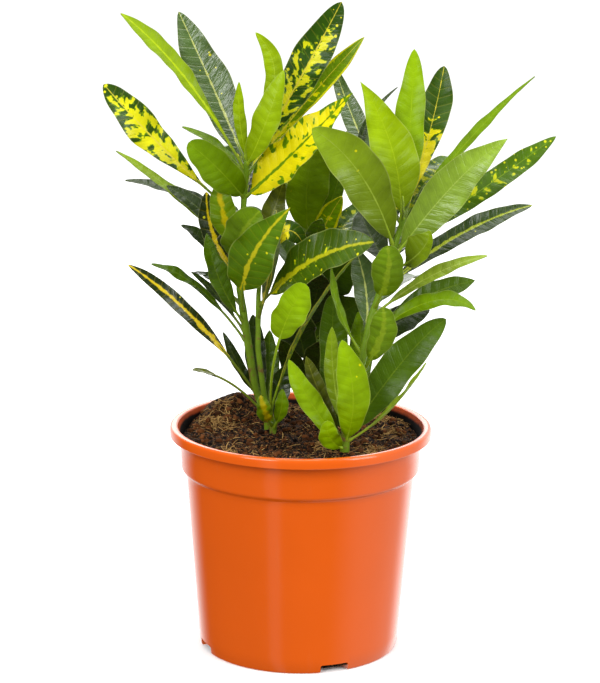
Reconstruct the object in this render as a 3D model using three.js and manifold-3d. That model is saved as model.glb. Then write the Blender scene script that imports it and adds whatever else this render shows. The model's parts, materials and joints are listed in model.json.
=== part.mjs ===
// Potted croton: a tapered plastic nursery pot, its potting soil and four leafy stems in it.
// Units are millimetres and +Z is up. The origin is the centre of the underside of the pot,
// +X is to the right of the plant's best side and -Y is towards the person who looks at it.
import * as THREE from 'three';
import { mergeVertices } from 'three/addons/utils/BufferGeometryUtils.js';
import Module from 'manifold-3d';

const wasm = await Module();
wasm.setup();

// Pot
const POT_HEIGHT = 148;
const FOOT_RADIUS = 65.4;
const SHOULDER_RADIUS = 74.7;
const SHOULDER_HEIGHT = 117.3;
const BAND_RADIUS = 77.9;
const BAND_HEIGHT = 120.4;
const LIP_RADIUS = 85.4;
const LIP_HEIGHT = 6.4;
const WALL = 1.5;
const BASE_THICKNESS = 2;
const ROUND_SIDES = 40;

// Raised drain pockets in the foot: four, a quarter turn apart
const POCKET_COUNT = 4;
const POCKET_FIRST_ANGLE = THREE.MathUtils.degToRad(-69);
const POCKET_WIDTH = 19;
const POCKET_HEIGHT = 5;
const POCKET_INNER_RADIUS = 42;
const POCKET_CEILING = 1.6;
const DRAIN_RADIUS = 4.5;
const DRAIN_DISTANCE = 52;

// Soil
const CLEARANCE = 0.3;
const SOIL_GAP = 0.4;
const SOIL_LEVEL = 143;
const SOIL_EDGE_DROP = 4;
const SOIL_EDGE_START = 62;
const SOIL_EDGE_WIDTH = 15;
const SOIL_CENTRE_RADIUS = 1;
const SOIL_TOP_RADII = [71, 62, 51, 39, 26, 13];
const SOIL_MOUND_HEIGHT = 12;
const SOIL_MOUND_SPREAD = 20;
const SOIL_MOUND_PLACE = [-47, 51];
const CRUMB_HEIGHT = 0.7;
const LUMP_HEIGHT = 0.5;

// Stems and leaf stalks
const ROOT_END = 98;
const STEM_SIDES = 8;
const STALK_WIDTH = 1.9;
const STALK_THICKNESS = 1.6;
const BLADE_THICKNESS = 0.8;
const TIP_WIDTH = 0.9;

// A stalk longer than this share of its leaf has stations of its own, at shares of its length
const LONG_STALK = 0.35;
const STALK_STATIONS = [0, 0.35, 0.7];
const TANGENT_STEP = 0.01;

// A stalk flattens into its blade over one part in this many of the blade's length
const SPREAD_RATE = 8;

// The thickness of a blade's edge as a share of that at its rib
const EDGE_SHARE = 0.9;

// Where the outline of a blade has its stations, as shares of its length
const BLADE_STATIONS = [0, 0.1, 0.25, 0.41, 0.57, 0.73, 0.88, 1];

// How a blade is shaped: the slope of its two halves in degrees, the height of the waves in
// its edges as a share of its width, where along it the blade is widest, the power that
// rounds its outline, how much it narrows towards its stalk, and the depth in millimetres by
// which its tip hooks down.
const FORMS = {
  plain: { fold: 13, wave: 0.05, widest: 0.5, round: 0.65, neck: 0, hook: 0 },
  lance: { fold: 13, wave: 0.05, widest: 0.6, round: 0.75, neck: 0.4, hook: 0 },
  ovate: { fold: 12, wave: 0.05, widest: 0.38, round: 0.95, neck: 0, hook: 0 },
  wavy: { fold: 8, wave: 0.11, widest: 0.52, round: 0.65, neck: 0, hook: 0 },
  rippled: { fold: 9, wave: 0.09, widest: 0.6, round: 0.62, neck: 0.6, hook: 0 },
  folded: { fold: 28, wave: 0.04, widest: 0.48, round: 0.7, neck: 0, hook: 0 },
  blunt: { fold: 11, wave: 0.04, widest: 0.5, round: 0.45, neck: 0, hook: 0 },
  hooked: { fold: 15, wave: 0.05, widest: 0.48, round: 0.7, neck: 0, hook: 10 },
  drooping: { fold: 14, wave: 0.06, widest: 0.5, round: 0.6, neck: 0, hook: 12 },
};
const NECK_FALLOFF = 3;
const WAVES_PER_BLADE = 2.2;
const WAVE_PHASE_STEP = 1.7;
const WAVE_PHASE_GAP = 2;

// Each stem: its colour, the radius at its foot and at its top, and its route above the soil.
// Each leaf: the height where its stalk leaves the stem, the tip, the offset of the middle of
// its path from the straight line, the share of the path that is stalk, the width of the
// blade, how far its upper face turns to the front (1) or the back (-1), and its form.
const STEMS = {
  left_stem: {
    colour: 0x6f9a1e,
    foot: 3.0,
    top: 1.7,
    route: [[-21, 2, 150], [-30, 1, 172], [-35, 0, 204], [-40, -1, 237], [-39, -2, 276], [-36, -3, 322]],
    leaves: [
      [314, [-116, 4, 413], [1, 2, 9], 0.12, 15, 0.45, 'lance'],
      [319, [-81, 32, 412], [1, 5, -2], 0.06, 25, 0.90, 'plain'],
      [283, [-126, -10, 370], [-3, -3, 0], 0.24, 22, 0.75, 'rippled'],
      [321, [-31, 4, 402], [15, -2, 8], 0.06, 13, 0.50, 'plain'],
      [318, [-13, -11, 380], [0, -5, -4], 0.06, 18, 0.70, 'plain'],
      [316, [23, 12, 421], [1, 8, -2], 0.08, 25, 0.85, 'rippled'],
      [311, [38, 22, 398], [-1, 9, 0], 0.10, 13, 0.75, 'lance'],
      [297, [30, -24, 368], [0, -5, -1], 0.06, 31, 0.55, 'ovate'],
      [322, [-41, -7, 372], [-2, 0, 0], 0.06, 8, 0.80, 'plain'],
      [297, [-72, -26, 336], [2, -8, 2], 0.06, 22, 0.95, 'blunt'],
      [313, [-78, 16, 340], [2, 4, 2], 0.15, 9, 0.20, 'plain'],
      [258, [-121, 22, 323], [3, 8, 1], 0.12, 9, 0.35, 'plain'],
      [278, [-117, 46, 300], [1, 11, 4], 0.15, 10, 0.30, 'plain'],
      [238, [-79, 21, 275], [-2, 6, 6], 0.15, 11, 0.20, 'plain'],
      [214, [-61, -13, 276], [-4, -6, 0], 0.15, 15, 0.60, 'plain'],
      [243, [-62, 4, 300], [-6, 0, 0], 0.15, 15, 0.70, 'plain'],
      [264, [-53, -10, 309], [-4, -4, 0], 0.12, 17, 0.90, 'plain'],
      [252, [-27, -30, 294], [-6, -9, 2], 0.10, 25, 0.70, 'blunt'],
      [222, [-8, -46, 299], [-10, -10, 2], 0.22, 29, 0.85, 'ovate'],
      [164, [-111, -16, 256], [1, -4, 9], 0.25, 10, 0.75, 'wavy'],
      [200, [-98, 12, 251], [0, 5, 9], 0.25, 9, 0.30, 'wavy'],
      [226, [-71, 23, 243], [-2, 6, 5], 0.20, 8, 0.10, 'plain'],
      [150, [-70, -14, 187], [1, 0, 7], 0.70, 7, 0.20, 'plain'],
      [310, [-64, 60, 372], [0, 6, 6], 0.12, 22, 0.00, 'plain'],
      [308, [-8, 64, 345], [0, 6, 9], 0.12, 24, 0.00, 'wavy'],
      [298, [-70, 52, 322], [0, 8, 8], 0.15, 22, 0.00, 'plain'],
      [286, [-31, 82, 300], [0, 6, 12], 0.14, 26, 0.00, 'hooked'],
      [266, [-62, 56, 276], [0, 8, 8], 0.14, 22, 0.00, 'plain'],
      [247, [-44, 72, 250], [0, 8, 10], 0.15, 24, 0.00, 'hooked'],
      [160, [-32, 18, 217], [-1, 4, 0], 0.10, 14, 0.85, 'plain'],
      [150, [-21, 20, 206], [0, 4, 0], 0.08, 13, 0.85, 'plain'],
      [162, [-51, 4, 208], [-1, 1, -2], 0.20, 8, 0.60, 'plain'],
      [207, [-72, 12, 246], [0, 2, 3], 0.20, 6, 0.40, 'plain'],
      [262, [-88, 14, 302], [-1, 3, 4], 0.15, 11, 0.50, 'plain'],
    ],
  },
  left_shoot: {
    colour: 0x84ac2a,
    foot: 2.1,
    top: 1.4,
    route: [[-18, -7, 150], [-24, -8, 170], [-28, -9, 200], [-28, -9, 235], [-26, -9, 264]],
    leaves: [
      [151, [2, -46, 251], [-8, -12, 4], 0.60, 21, 0.95, 'blunt'],
      [156, [39, -30, 272], [-8, 0, 3], 0.16, 8, 0.00, 'plain'],
      [228, [44, -52, 279], [-2, -6, 10], 0.12, 30, 0.55, 'plain'],
      [248, [3, -20, 266], [0, -6, 17], 0.25, 14, 0.60, 'hooked'],
      [258, [-12, 2, 308], [-1, 2, 0], 0.12, 15, 0.60, 'plain'],
      [220, [-17, -26, 294], [3, -8, 1], 0.15, 10, 0.00, 'plain'],
      [148, [-26, -20, 172], [-1, -6, 0], 0.20, 10, 0.80, 'plain'],
      [146, [-12, -18, 176], [2, -5, 0], 0.20, 9, 0.80, 'plain'],
      [150, [-9, 4, 186], [-1, 5, 0], 0.15, 14, 0.90, 'blunt'],
      [258, [-16, 40, 285], [0, 4, 6], 0.15, 16, 0.00, 'plain'],
    ],
  },
  right_stem: {
    colour: 0x7ba326,
    foot: 3.0,
    top: 1.7,
    route: [[28, -49, 150], [37, -46, 195], [43, -43, 228], [51, -40, 252], [59, -37, 278], [63, -35, 292]],
    leaves: [
      [272, [5, -56, 350], [5, -7, 9], 0.06, 29, 0.90, 'plain'],
      [285, [35, -16, 374], [8, 2, 1], 0.12, 28, 0.90, 'ovate'],
      [289, [69, 0, 393], [1, 5, 0], 0.12, 19, 0.80, 'plain'],
      [291, [89, 14, 381], [3, 8, 1], 0.10, 20, 0.60, 'rippled'],
      [283, [145, -4, 377], [-2, 5, 4], 0.15, 9, 0.35, 'ovate'],
      [262, [125, -50, 344], [2, -6, 11], 0.10, 25, 0.85, 'ovate'],
      [272, [159, -10, 340], [2, 2, 0], 0.12, 16, 0.65, 'wavy'],
      [245, [147, 6, 293], [0, 4, 7], 0.12, 14, 0.55, 'plain'],
      [229, [115, -46, 270], [-1, -2, 6], 0.15, 10, 0.45, 'plain'],
      [221, [110, -16, 248], [-2, 4, 3], 0.20, 15, 0.60, 'lance'],
      [215, [109, -41, 234], [2, -2, 10], 0.18, 13, 0.45, 'hooked'],
      [206, [82, -10, 227], [0, 6, 4], 0.15, 19, 0.50, 'plain'],
      [152, [91, -35, 227], [-2, 0, -2], 0.08, 23, 0.85, 'drooping'],
      [149, [78, -54, 203], [3, -6, -2], 0.25, 9, 0.10, 'plain'],
      [190, [50, -63, 240], [6, -5, 5], 0.22, 17, 0.95, 'blunt'],
      [234, [52, -63, 279], [4, -6, 3], 0.20, 20, 0.90, 'blunt'],
      [256, [78, -59, 288], [7, -6, 1], 0.25, 20, 0.60, 'folded'],
      [287, [19, 37, 378], [-3, 11, 1], 0.12, 14, 0.75, 'plain'],
      [279, [60, 24, 366], [-24, 12, 2], 0.15, 5, 0.30, 'plain'],
      [205, [18, -36, 260], [-5, 0, 0], 0.20, 8, 0.20, 'plain'],
      [213, [33, -18, 269], [4, 6, 0], 0.18, 17, 0.60, 'plain'],
      [290, [62, -40, 306], [0, -2, 0], 0.10, 4, 0.50, 'plain'],
      [153, [19, -44, 223], [-3, 3, 0], 0.14, 11, 0.90, 'plain'],
      [149, [25, -62, 219], [6, -7, -1], 0.06, 21, 0.95, 'plain'],
      [147, [-8, -45, 202], [-2, -2, -2], 0.06, 14, 0.85, 'wavy'],
      [145, [17, -62, 167], [-4, -3, -1], 0.10, 13, 0.95, 'blunt'],
      [288, [78, 40, 350], [0, 4, 6], 0.12, 22, 0.00, 'plain'],
      [281, [100, 36, 318], [0, 6, 10], 0.12, 24, 0.00, 'wavy'],
      [276, [50, 38, 330], [-2, 4, 6], 0.12, 24, 0.00, 'plain'],
      [260, [84, 26, 272], [0, 6, 8], 0.14, 24, 0.00, 'plain'],
      [232, [78, 28, 240], [0, 6, 8], 0.14, 22, 0.00, 'plain'],
      [210, [62, 28, 212], [0, 6, 8], 0.14, 22, 0.00, 'hooked'],
      [148, [3, -36, 202], [-2, 2, 0], 0.15, 11, 0.90, 'plain'],
      [147, [20, -24, 240], [-3, 9, 0], 0.12, 19, 0.90, 'blunt'],
      [165, [36, -12, 226], [4, 5, 0], 0.12, 15, 0.90, 'plain'],
      [262, [37, 8, 288], [-2, 4, 0], 0.10, 21, 0.70, 'plain'],
    ],
  },
  rear_stem: {
    colour: 0x3f6a1c,
    foot: 3.0,
    top: 1.7,
    route: [[6, 42, 150], [4, 41, 180], [2, 40, 220], [5, 38, 268]],
    leaves: [
      [262, [8, 12, 337], [-4, -6, 0], 0.12, 28, 0.95, 'plain'],
      [265, [14, 38, 343], [2, 6, 0], 0.12, 15, 0.60, 'plain'],
      [258, [28, 20, 338], [5, 2, 0], 0.12, 16, 0.60, 'plain'],
      [206, [30, 4, 262], [2, 0, 4], 0.15, 28, 0.85, 'plain'],
      [196, [13, -2, 248], [0, -2, 4], 0.15, 26, 0.90, 'plain'],
      [188, [39, 8, 228], [2, 0, 6], 0.15, 26, 0.80, 'plain'],
      [174, [-7, 10, 222], [0, -2, 4], 0.15, 24, 0.85, 'plain'],
      [240, [12, 0, 284], [0, -2, 4], 0.18, 14, 0.85, 'plain'],
      [246, [25, 4, 298], [0, -2, 4], 0.18, 14, 0.85, 'plain'],
      [160, [20, -2, 206], [0, 0, 4], 0.15, 22, 0.85, 'plain'],
      [260, [-20, 92, 330], [0, 4, 8], 0.12, 24, 0.00, 'plain'],
      [256, [34, 94, 318], [0, 4, 8], 0.12, 26, 0.00, 'wavy'],
      [250, [4, 104, 300], [0, 4, 10], 0.12, 26, 0.00, 'hooked'],
      [236, [52, 84, 280], [0, 4, 10], 0.12, 24, 0.00, 'plain'],
      [228, [-40, 86, 276], [0, 4, 8], 0.12, 24, 0.00, 'plain'],
      [214, [14, 100, 248], [0, 4, 10], 0.14, 26, 0.00, 'plain'],
      [200, [46, 84, 228], [0, 4, 8], 0.14, 24, 0.00, 'hooked'],
      [189, [-8, 88, 206], [0, 4, 8], 0.14, 24, 0.00, 'plain'],
      [178, [28, 90, 196], [0, 4, 8], 0.14, 22, 0.00, 'plain'],
      [150, [-14, 2, 204], [0, 2, 0], 0.08, 16, 0.90, 'plain'],
    ],
  },
};

// Turns a closed triangle geometry into a solid that can be joined and cut.
function solidOf(geometry) {
  const bare = geometry.clone();
  bare.deleteAttribute('normal');
  bare.deleteAttribute('uv');
  const welded = mergeVertices(bare, 1e-4);
  return new wasm.Manifold(new wasm.Mesh({
    numProp: 3,
    vertProperties: new Float32Array(welded.attributes.position.array),
    triVerts: new Uint32Array(welded.index.array),
  }));
}

// Turns a solid back into a geometry.
function geometryOf(solid) {
  const mesh = solid.getMesh();
  const geometry = new THREE.BufferGeometry();
  geometry.setAttribute('position', new THREE.BufferAttribute(mesh.vertProperties, 3));
  geometry.setIndex(new THREE.BufferAttribute(mesh.triVerts, 1));
  geometry.computeVertexNormals();
  return geometry;
}

// Skins a row of rings with as many points each. The quads of the last half of a ring are
// split the other way, so the two faces of a thin blade have the same triangles.
function skinRings(rings) {
  const sides = rings[0].length;
  const positions = rings.flat().flatMap((point) => [point.x, point.y, point.z]);
  const triangles = [];
  for (let ring = 0; ring < rings.length - 1; ring += 1) {
    for (let side = 0; side < sides; side += 1) {
      const next = (side + 1) % sides;
      const a = ring * sides + side;
      const b = ring * sides + next;
      const c = (ring + 1) * sides + next;
      const d = (ring + 1) * sides + side;
      if (side < sides / 2) {
        triangles.push(a, b, c, a, c, d);
      } else {
        triangles.push(a, b, d, b, c, d);
      }
    }
  }
  const last = (rings.length - 1) * sides;
  for (let side = 1; side < sides - 1; side += 1) {
    triangles.push(0, side + 1, side);
    triangles.push(last, last + side, last + side + 1);
  }
  const geometry = new THREE.BufferGeometry();
  geometry.setAttribute('position', new THREE.Float32BufferAttribute(positions, 3));
  geometry.setIndex(triangles);
  return geometry;
}

// The inside line of the pot wall, from the base plate to the rim: [radius, height] pairs.
function innerWall() {
  return [
    [FOOT_RADIUS - WALL + 0.1, BASE_THICKNESS],
    [SHOULDER_RADIUS - WALL, SHOULDER_HEIGHT + 0.5],
    [BAND_RADIUS - WALL - 0.5, BAND_HEIGHT - 0.6],
    [BAND_RADIUS - WALL + 0.5, POT_HEIGHT - LIP_HEIGHT - 2],
    [BAND_RADIUS - WALL + 1, POT_HEIGHT - LIP_HEIGHT + 0.6],
    [BAND_RADIUS + 1.7, POT_HEIGHT - 2],
  ];
}

function buildPot() {
  const skirtTop = POT_HEIGHT - 1.8;
  const lipBottom = POT_HEIGHT - LIP_HEIGHT;
  const outside = [
    [0, 0],
    [FOOT_RADIUS - 0.8, 0],
    [FOOT_RADIUS, 0.8],
    [SHOULDER_RADIUS, SHOULDER_HEIGHT],
    [BAND_RADIUS - 0.5, BAND_HEIGHT - 1.1],
    [BAND_RADIUS, BAND_HEIGHT],
    [BAND_RADIUS + 0.5, lipBottom - 2],
    [BAND_RADIUS + 1.1, lipBottom + 1],
    [BAND_RADIUS + 3.4, skirtTop - 0.8],
    [LIP_RADIUS - WALL, skirtTop - 0.4],
    [LIP_RADIUS - WALL + 0.1, lipBottom],
    [LIP_RADIUS - 0.2, lipBottom],
    [LIP_RADIUS, POT_HEIGHT - 2.4],
    [LIP_RADIUS - 1, POT_HEIGHT - 0.6],
    [LIP_RADIUS - 2.8, POT_HEIGHT],
    [LIP_RADIUS - 4.6, POT_HEIGHT - 0.5],
  ];
  const inside = innerWall().reverse();
  const profile = [...outside, ...inside, [0, BASE_THICKNESS]];
  const lathe = new THREE.LatheGeometry(
    profile.map(([radius, height]) => new THREE.Vector2(radius, height)), ROUND_SIDES);
  lathe.rotateX(Math.PI / 2);
  let pot = solidOf(lathe);
  for (const angle of pocketAngles()) {
    const ceiling = solidOf(pocketBlock(angle, POCKET_HEIGHT + POCKET_CEILING, WALL, FOOT_RADIUS - 1.4));
    const pocket = solidOf(pocketBlock(angle, POCKET_HEIGHT, 0, FOOT_RADIUS + 8));
    const drain = new THREE.CylinderGeometry(DRAIN_RADIUS, DRAIN_RADIUS, 2 * POCKET_HEIGHT, 12);
    drain.rotateX(Math.PI / 2);
    drain.translate(DRAIN_DISTANCE * Math.cos(angle), DRAIN_DISTANCE * Math.sin(angle), POCKET_HEIGHT);
    pot = pot.add(ceiling).subtract(pocket).subtract(solidOf(drain));
  }
  return geometryOf(pot);
}

function pocketAngles() {
  return Array.from({ length: POCKET_COUNT },
    (_, index) => POCKET_FIRST_ANGLE + index * 2 * Math.PI / POCKET_COUNT);
}

// A block over one drain pocket, from below the base up to a height. It is wider and starts
// nearer the centre than the pocket by a margin.
function pocketBlock(angle, height, margin, outerRadius) {
  const sunk = margin > 0 ? 0 : 1;
  const inner = POCKET_INNER_RADIUS - margin;
  const block = new THREE.BoxGeometry(
    outerRadius - inner, POCKET_WIDTH + 2 * margin, height + sunk);
  block.translate((outerRadius + inner) / 2, 0, (height - sunk) / 2);
  block.rotateZ(angle);
  return block;
}

// The height of the soil: level, lower along the wall, with a mound at the back left and
// crumbs as ripples.
function soilHeight(x, y) {
  const radius = Math.hypot(x, y);
  const edge = SOIL_EDGE_DROP * Math.max(0, (radius - SOIL_EDGE_START) / SOIL_EDGE_WIDTH) ** 2;
  const [moundX, moundY] = SOIL_MOUND_PLACE;
  const away = Math.hypot(x - moundX, y - moundY) / SOIL_MOUND_SPREAD;
  const mound = SOIL_MOUND_HEIGHT * Math.exp(-away * away);
  const crumbs = CRUMB_HEIGHT * Math.sin(0.31 * x + 1) * Math.sin(0.27 * y);
  const lumps = LUMP_HEIGHT * Math.sin(0.17 * (x - y));
  return SOIL_LEVEL - edge + mound + crumbs + lumps;
}

function buildSoil() {
  const wall = innerWall().map(([radius, height]) => [radius - SOIL_GAP, height]);
  const floor = BASE_THICKNESS + CLEARANCE;
  const edgeRadius = wall[3][0];
  const sideRings = [[wall[0][0], floor], wall[1], wall[2], [edgeRadius, SOIL_LEVEL - 6]];
  const topRadii = [edgeRadius, ...SOIL_TOP_RADII, SOIL_CENTRE_RADIUS];
  const corner = (radius, index, height) => {
    const angle = index * 2 * Math.PI / ROUND_SIDES;
    const x = radius * Math.sin(angle);
    const y = -radius * Math.cos(angle);
    return new THREE.Vector3(x, y, height ?? soilHeight(x, y));
  };
  const ringOf = (radius, height) => Array.from({ length: ROUND_SIDES },
    (_, index) => corner(radius, index, height));
  const rings = [
    ringOf(SOIL_CENTRE_RADIUS, floor),
    ...sideRings.map(([radius, height]) => ringOf(radius, height)),
    ...topRadii.map((radius) => ringOf(radius)),
  ];
  let soil = solidOf(skinRings(rings));
  for (const angle of pocketAngles()) {
    soil = soil.subtract(solidOf(
      pocketBlock(angle, POCKET_HEIGHT + POCKET_CEILING + CLEARANCE, WALL + CLEARANCE, FOOT_RADIUS + 8)));
  }
  for (const { route, foot } of Object.values(STEMS)) {
    const [x, y, top] = route[0];
    const hole = [ROOT_END - CLEARANCE, top].map(
      (height) => stemRing(new THREE.Vector3(x, y, height), foot + SOIL_GAP));
    soil = soil.subtract(solidOf(skinRings(hole)));
  }
  return geometryOf(soil);
}

function stemRing(centre, radius) {
  return Array.from({ length: STEM_SIDES }, (_, index) => {
    const angle = index * 2 * Math.PI / STEM_SIDES;
    return new THREE.Vector3(
      centre.x + radius * Math.cos(angle), centre.y + radius * Math.sin(angle), centre.z);
  });
}

// The point on a stem's centre line at a height.
function stemPoint(route, height) {
  const above = route.findIndex((point) => point[2] >= height);
  if (above <= 0) {
    return new THREE.Vector3(route[0][0], route[0][1], height);
  }
  const low = new THREE.Vector3(...route[above - 1]);
  const high = new THREE.Vector3(...route[above]);
  return low.lerp(high, (height - low.z) / (high.z - low.z));
}

function stemSolid({ route, foot, top }) {
  const footHeight = route[0][2];
  const topHeight = route[route.length - 1][2];
  const heights = [ROOT_END, ...route.map((point) => point[2])];
  const rings = heights.map((height) => {
    const share = Math.max(0, (height - footHeight) / (topHeight - footHeight));
    return stemRing(stemPoint(route, height), foot + (top - foot) * share);
  });
  return solidOf(skinRings(rings));
}

// The half width of a blade at a share of its length.
function halfWidth(share, width, form) {
  const rib = STALK_WIDTH / 2 + (TIP_WIDTH - STALK_WIDTH) / 2 * share;
  const turn = Math.PI * share ** (Math.log(0.5) / Math.log(form.widest));
  const neck = 1 - form.neck * (1 - share) ** NECK_FALLOFF;
  return Math.max(rib, width / 2 * neck * Math.max(0, Math.sin(turn)) ** form.round);
}

// One leaf, stalk and blade in one skin. Its section has six points: left edge, rib and
// right edge on the upper face, then back along the lower face.
function leafRings(route, leaf, number) {
  const [height, tip, bow, stalk, width, facing, formName] = leaf;
  const form = FORMS[formName];
  const root = stemPoint(route, height);
  const end = new THREE.Vector3(...tip);
  const raisedEnd = end.clone().add(new THREE.Vector3(0, 0, form.hook));
  const middle = root.clone().add(raisedEnd).multiplyScalar(0.5)
    .addScaledVector(new THREE.Vector3(...bow), 2);
  const curve = new THREE.QuadraticBezierCurve3(root, middle, raisedEnd);
  const pathPoint = (share) => {
    const point = curve.getPoint(share);
    point.z -= form.hook * share ** 4;
    return point;
  };
  const chord = end.clone().sub(root).normalize();
  const across = (direction, axis) => direction.clone().addScaledVector(axis, -direction.dot(axis)).normalize();
  const faceUp = across(new THREE.Vector3(0, 0, 1), chord);
  const faceFront = across(new THREE.Vector3(0, -1, 0), chord);
  const face = faceUp.multiplyScalar(1 - Math.abs(facing)).addScaledVector(faceFront, facing);
  const stalkStations = stalk > LONG_STALK ? STALK_STATIONS.map((share) => stalk * share) : [0];
  const stations = [...stalkStations, ...BLADE_STATIONS.map((share) => stalk + (1 - stalk) * share)];
  return stations.map((share) => {
    const bladeShare = Math.max(0, (share - stalk) / (1 - stalk));
    const ahead = pathPoint(Math.min(1, share + TANGENT_STEP));
    const behind = pathPoint(Math.max(0, share - TANGENT_STEP));
    const along = ahead.sub(behind).normalize();
    const normal = across(face, along);
    const side = new THREE.Vector3().crossVectors(along, normal);
    const half = halfWidth(bladeShare, width, form);
    const spread = Math.min(1, bladeShare * SPREAD_RATE);
    const thickness = STALK_THICKNESS + (BLADE_THICKNESS - STALK_THICKNESS) * spread;
    const lift = half * Math.tan(THREE.MathUtils.degToRad(form.fold)) * spread;
    const phase = 2 * Math.PI * WAVES_PER_BLADE * bladeShare + WAVE_PHASE_STEP * number;
    const wave = form.wave * width * Math.sin(Math.PI * bladeShare);
    const centre = pathPoint(share);
    const place = (sideways, up) => centre.clone()
      .addScaledVector(side, sideways).addScaledVector(normal, up);
    const leftLift = lift + wave * Math.sin(phase);
    const rightLift = lift + wave * Math.sin(phase + WAVE_PHASE_GAP);
    const upper = thickness / 2;
    const edge = upper * EDGE_SHARE;
    return [
      place(-half, leftLift + edge),
      place(0, upper),
      place(half, rightLift + edge),
      place(half, rightLift - edge),
      place(0, -upper),
      place(-half, leftLift - edge),
    ];
  });
}

function buildLeafyStem(stem) {
  let solid = stemSolid(stem);
  stem.leaves.forEach((leaf, number) => {
    solid = solid.add(solidOf(skinRings(leafRings(stem.route, leaf, number))));
  });
  return geometryOf(solid);
}

function part(name, geometry, colour, roughness) {
  const material = new THREE.MeshStandardMaterial({ color: colour, roughness, metalness: 0 });
  const mesh = new THREE.Mesh(geometry, material);
  mesh.name = name;
  return mesh;
}

const croton = new THREE.Group();
croton.add(part('pot', buildPot(), 0xe4591a, 0.3));
croton.add(part('soil', buildSoil(), 0x3a2618, 0.95));
for (const [name, stem] of Object.entries(STEMS)) {
  croton.add(part(name, buildLeafyStem(stem), stem.colour, 0.4));
}

export default croton;
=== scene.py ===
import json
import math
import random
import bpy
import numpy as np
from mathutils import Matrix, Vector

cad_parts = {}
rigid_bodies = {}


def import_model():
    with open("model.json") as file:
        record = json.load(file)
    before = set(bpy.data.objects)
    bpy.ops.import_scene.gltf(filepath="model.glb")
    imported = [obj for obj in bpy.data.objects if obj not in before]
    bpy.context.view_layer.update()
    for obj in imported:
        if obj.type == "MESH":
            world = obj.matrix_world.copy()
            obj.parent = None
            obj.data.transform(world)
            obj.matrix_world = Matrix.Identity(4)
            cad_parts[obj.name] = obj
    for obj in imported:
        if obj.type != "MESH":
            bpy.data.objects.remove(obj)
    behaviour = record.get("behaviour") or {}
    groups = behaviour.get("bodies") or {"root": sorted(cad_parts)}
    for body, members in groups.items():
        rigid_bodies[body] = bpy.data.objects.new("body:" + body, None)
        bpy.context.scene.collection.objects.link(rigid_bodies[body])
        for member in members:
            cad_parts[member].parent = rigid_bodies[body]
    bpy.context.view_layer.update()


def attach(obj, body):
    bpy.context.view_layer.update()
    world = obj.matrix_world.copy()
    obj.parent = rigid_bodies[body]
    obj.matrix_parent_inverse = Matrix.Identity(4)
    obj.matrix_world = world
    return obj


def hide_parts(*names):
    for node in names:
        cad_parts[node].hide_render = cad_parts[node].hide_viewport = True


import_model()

# %% [markdown]
# # A potted croton
# The object is a plastic nursery pot filled with soil, with four leafy stems in it. The CAD model
# is already loaded: it fixes where every stem and leaf goes, and Blender gives each of them a
# finer shape and a real finish. Blender works in metres, so the measures of the plant, which are in
# millimetres, are multiplied by MM.

MM = 0.001

# %% [markdown]
# ## Camera and lights
# The plant is seen from the front and a little above, through a long lens, so there is hardly any
# perspective. Big soft lights suit waxy leaves and shiny plastic: small hard lights would put sharp
# white dots on them, while a large panel is reflected as a broad soft sheen. Places and sizes in
# this part are in metres.

# %% Camera
VIEW_DISTANCE = 1.5
VIEW_ELEVATION = math.radians(13.2)
VIEW_ROLL = math.radians(0.6)
VIEW_TARGET = Vector((-0.001, 0, 0.2032))
LENS = 122.0
SENSOR = 36

camera_data = bpy.data.cameras.new("camera")
camera_data.sensor_width = SENSOR
camera_data.lens = LENS
camera = bpy.data.objects.new("camera", camera_data)
bpy.context.collection.objects.link(camera)
back = Vector((0, -math.cos(VIEW_ELEVATION), math.sin(VIEW_ELEVATION)))
camera.location = VIEW_TARGET + back * VIEW_DISTANCE
turn = (-back).to_track_quat("-Z", "Y").to_matrix() @ Matrix.Rotation(VIEW_ROLL, 3, "Z")
camera.rotation_euler = turn.to_euler()
bpy.context.scene.camera = camera
print("camera at", [round(value, 3) for value in camera.location])

# %% Soft lights
PLANT_MIDDLE = Vector((0, 0, 0.22))
SOFT_LIGHTS = {
    "front_left_panel": dict(place=(-1.0, -1.3, 1.1), width=0.8, height=0.8, watts=17),
    "front_right_panel": dict(place=(1.3, -0.9, 0.8), width=0.7, height=1.2, watts=17),
    "top_panel": dict(place=(0.1, 0.1, 1.6), width=1.0, height=1.0, watts=12),
    "back_panel": dict(place=(-0.4, 1.6, 0.9), width=1.2, height=0.8, watts=8),
}

for name, panel in SOFT_LIGHTS.items():
    data = bpy.data.lights.new(name, "AREA")
    data.shape = "RECTANGLE"
    data.size = panel["width"]
    data.size_y = panel["height"]
    data.energy = panel["watts"]
    light = bpy.data.objects.new(name, data)
    bpy.context.collection.objects.link(light)
    light.location = panel["place"]
    light.rotation_euler = (PLANT_MIDDLE - light.location).to_track_quat("-Z", "Y").to_euler()
bpy.context.scene.view_settings.view_transform = "Standard"
print("soft lights:", ", ".join(SOFT_LIGHTS))

# %% [markdown]
# ## Surround and floor
# In a studio the white is behind and above the plant, and the side of the camera is a dark room
# with a few tall lamps. Shiny things show this: a bright edge on both sides of the pot, a soft
# upright stripe where a lamp stands, and plain orange between. So the surround is white to the
# camera, while reflections read it by direction. As fill light it is bright above and dim below,
# which keeps the shadows between the leaves deep. Such a surround is a sum in a node tree, so the
# helpers for node trees come first.

# %% Helpers for sums in a node tree
def link_value(tree, value, socket):
    """Gives a socket a number, a colour or the output of another node."""
    if isinstance(value, (int, float, tuple)):
        socket.default_value = value
    else:
        tree.links.new(value, socket)


def calc(tree, operation, *values):
    """A Math node. Each value is a number or the output of another node."""
    made = tree.nodes.new("ShaderNodeMath")
    made.operation = operation
    for socket, value in zip(made.inputs, values):
        link_value(tree, value, socket)
    return made.outputs[0]


def product(tree, first, *others):
    for other in others:
        first = calc(tree, "MULTIPLY", first, other)
    return first


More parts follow.
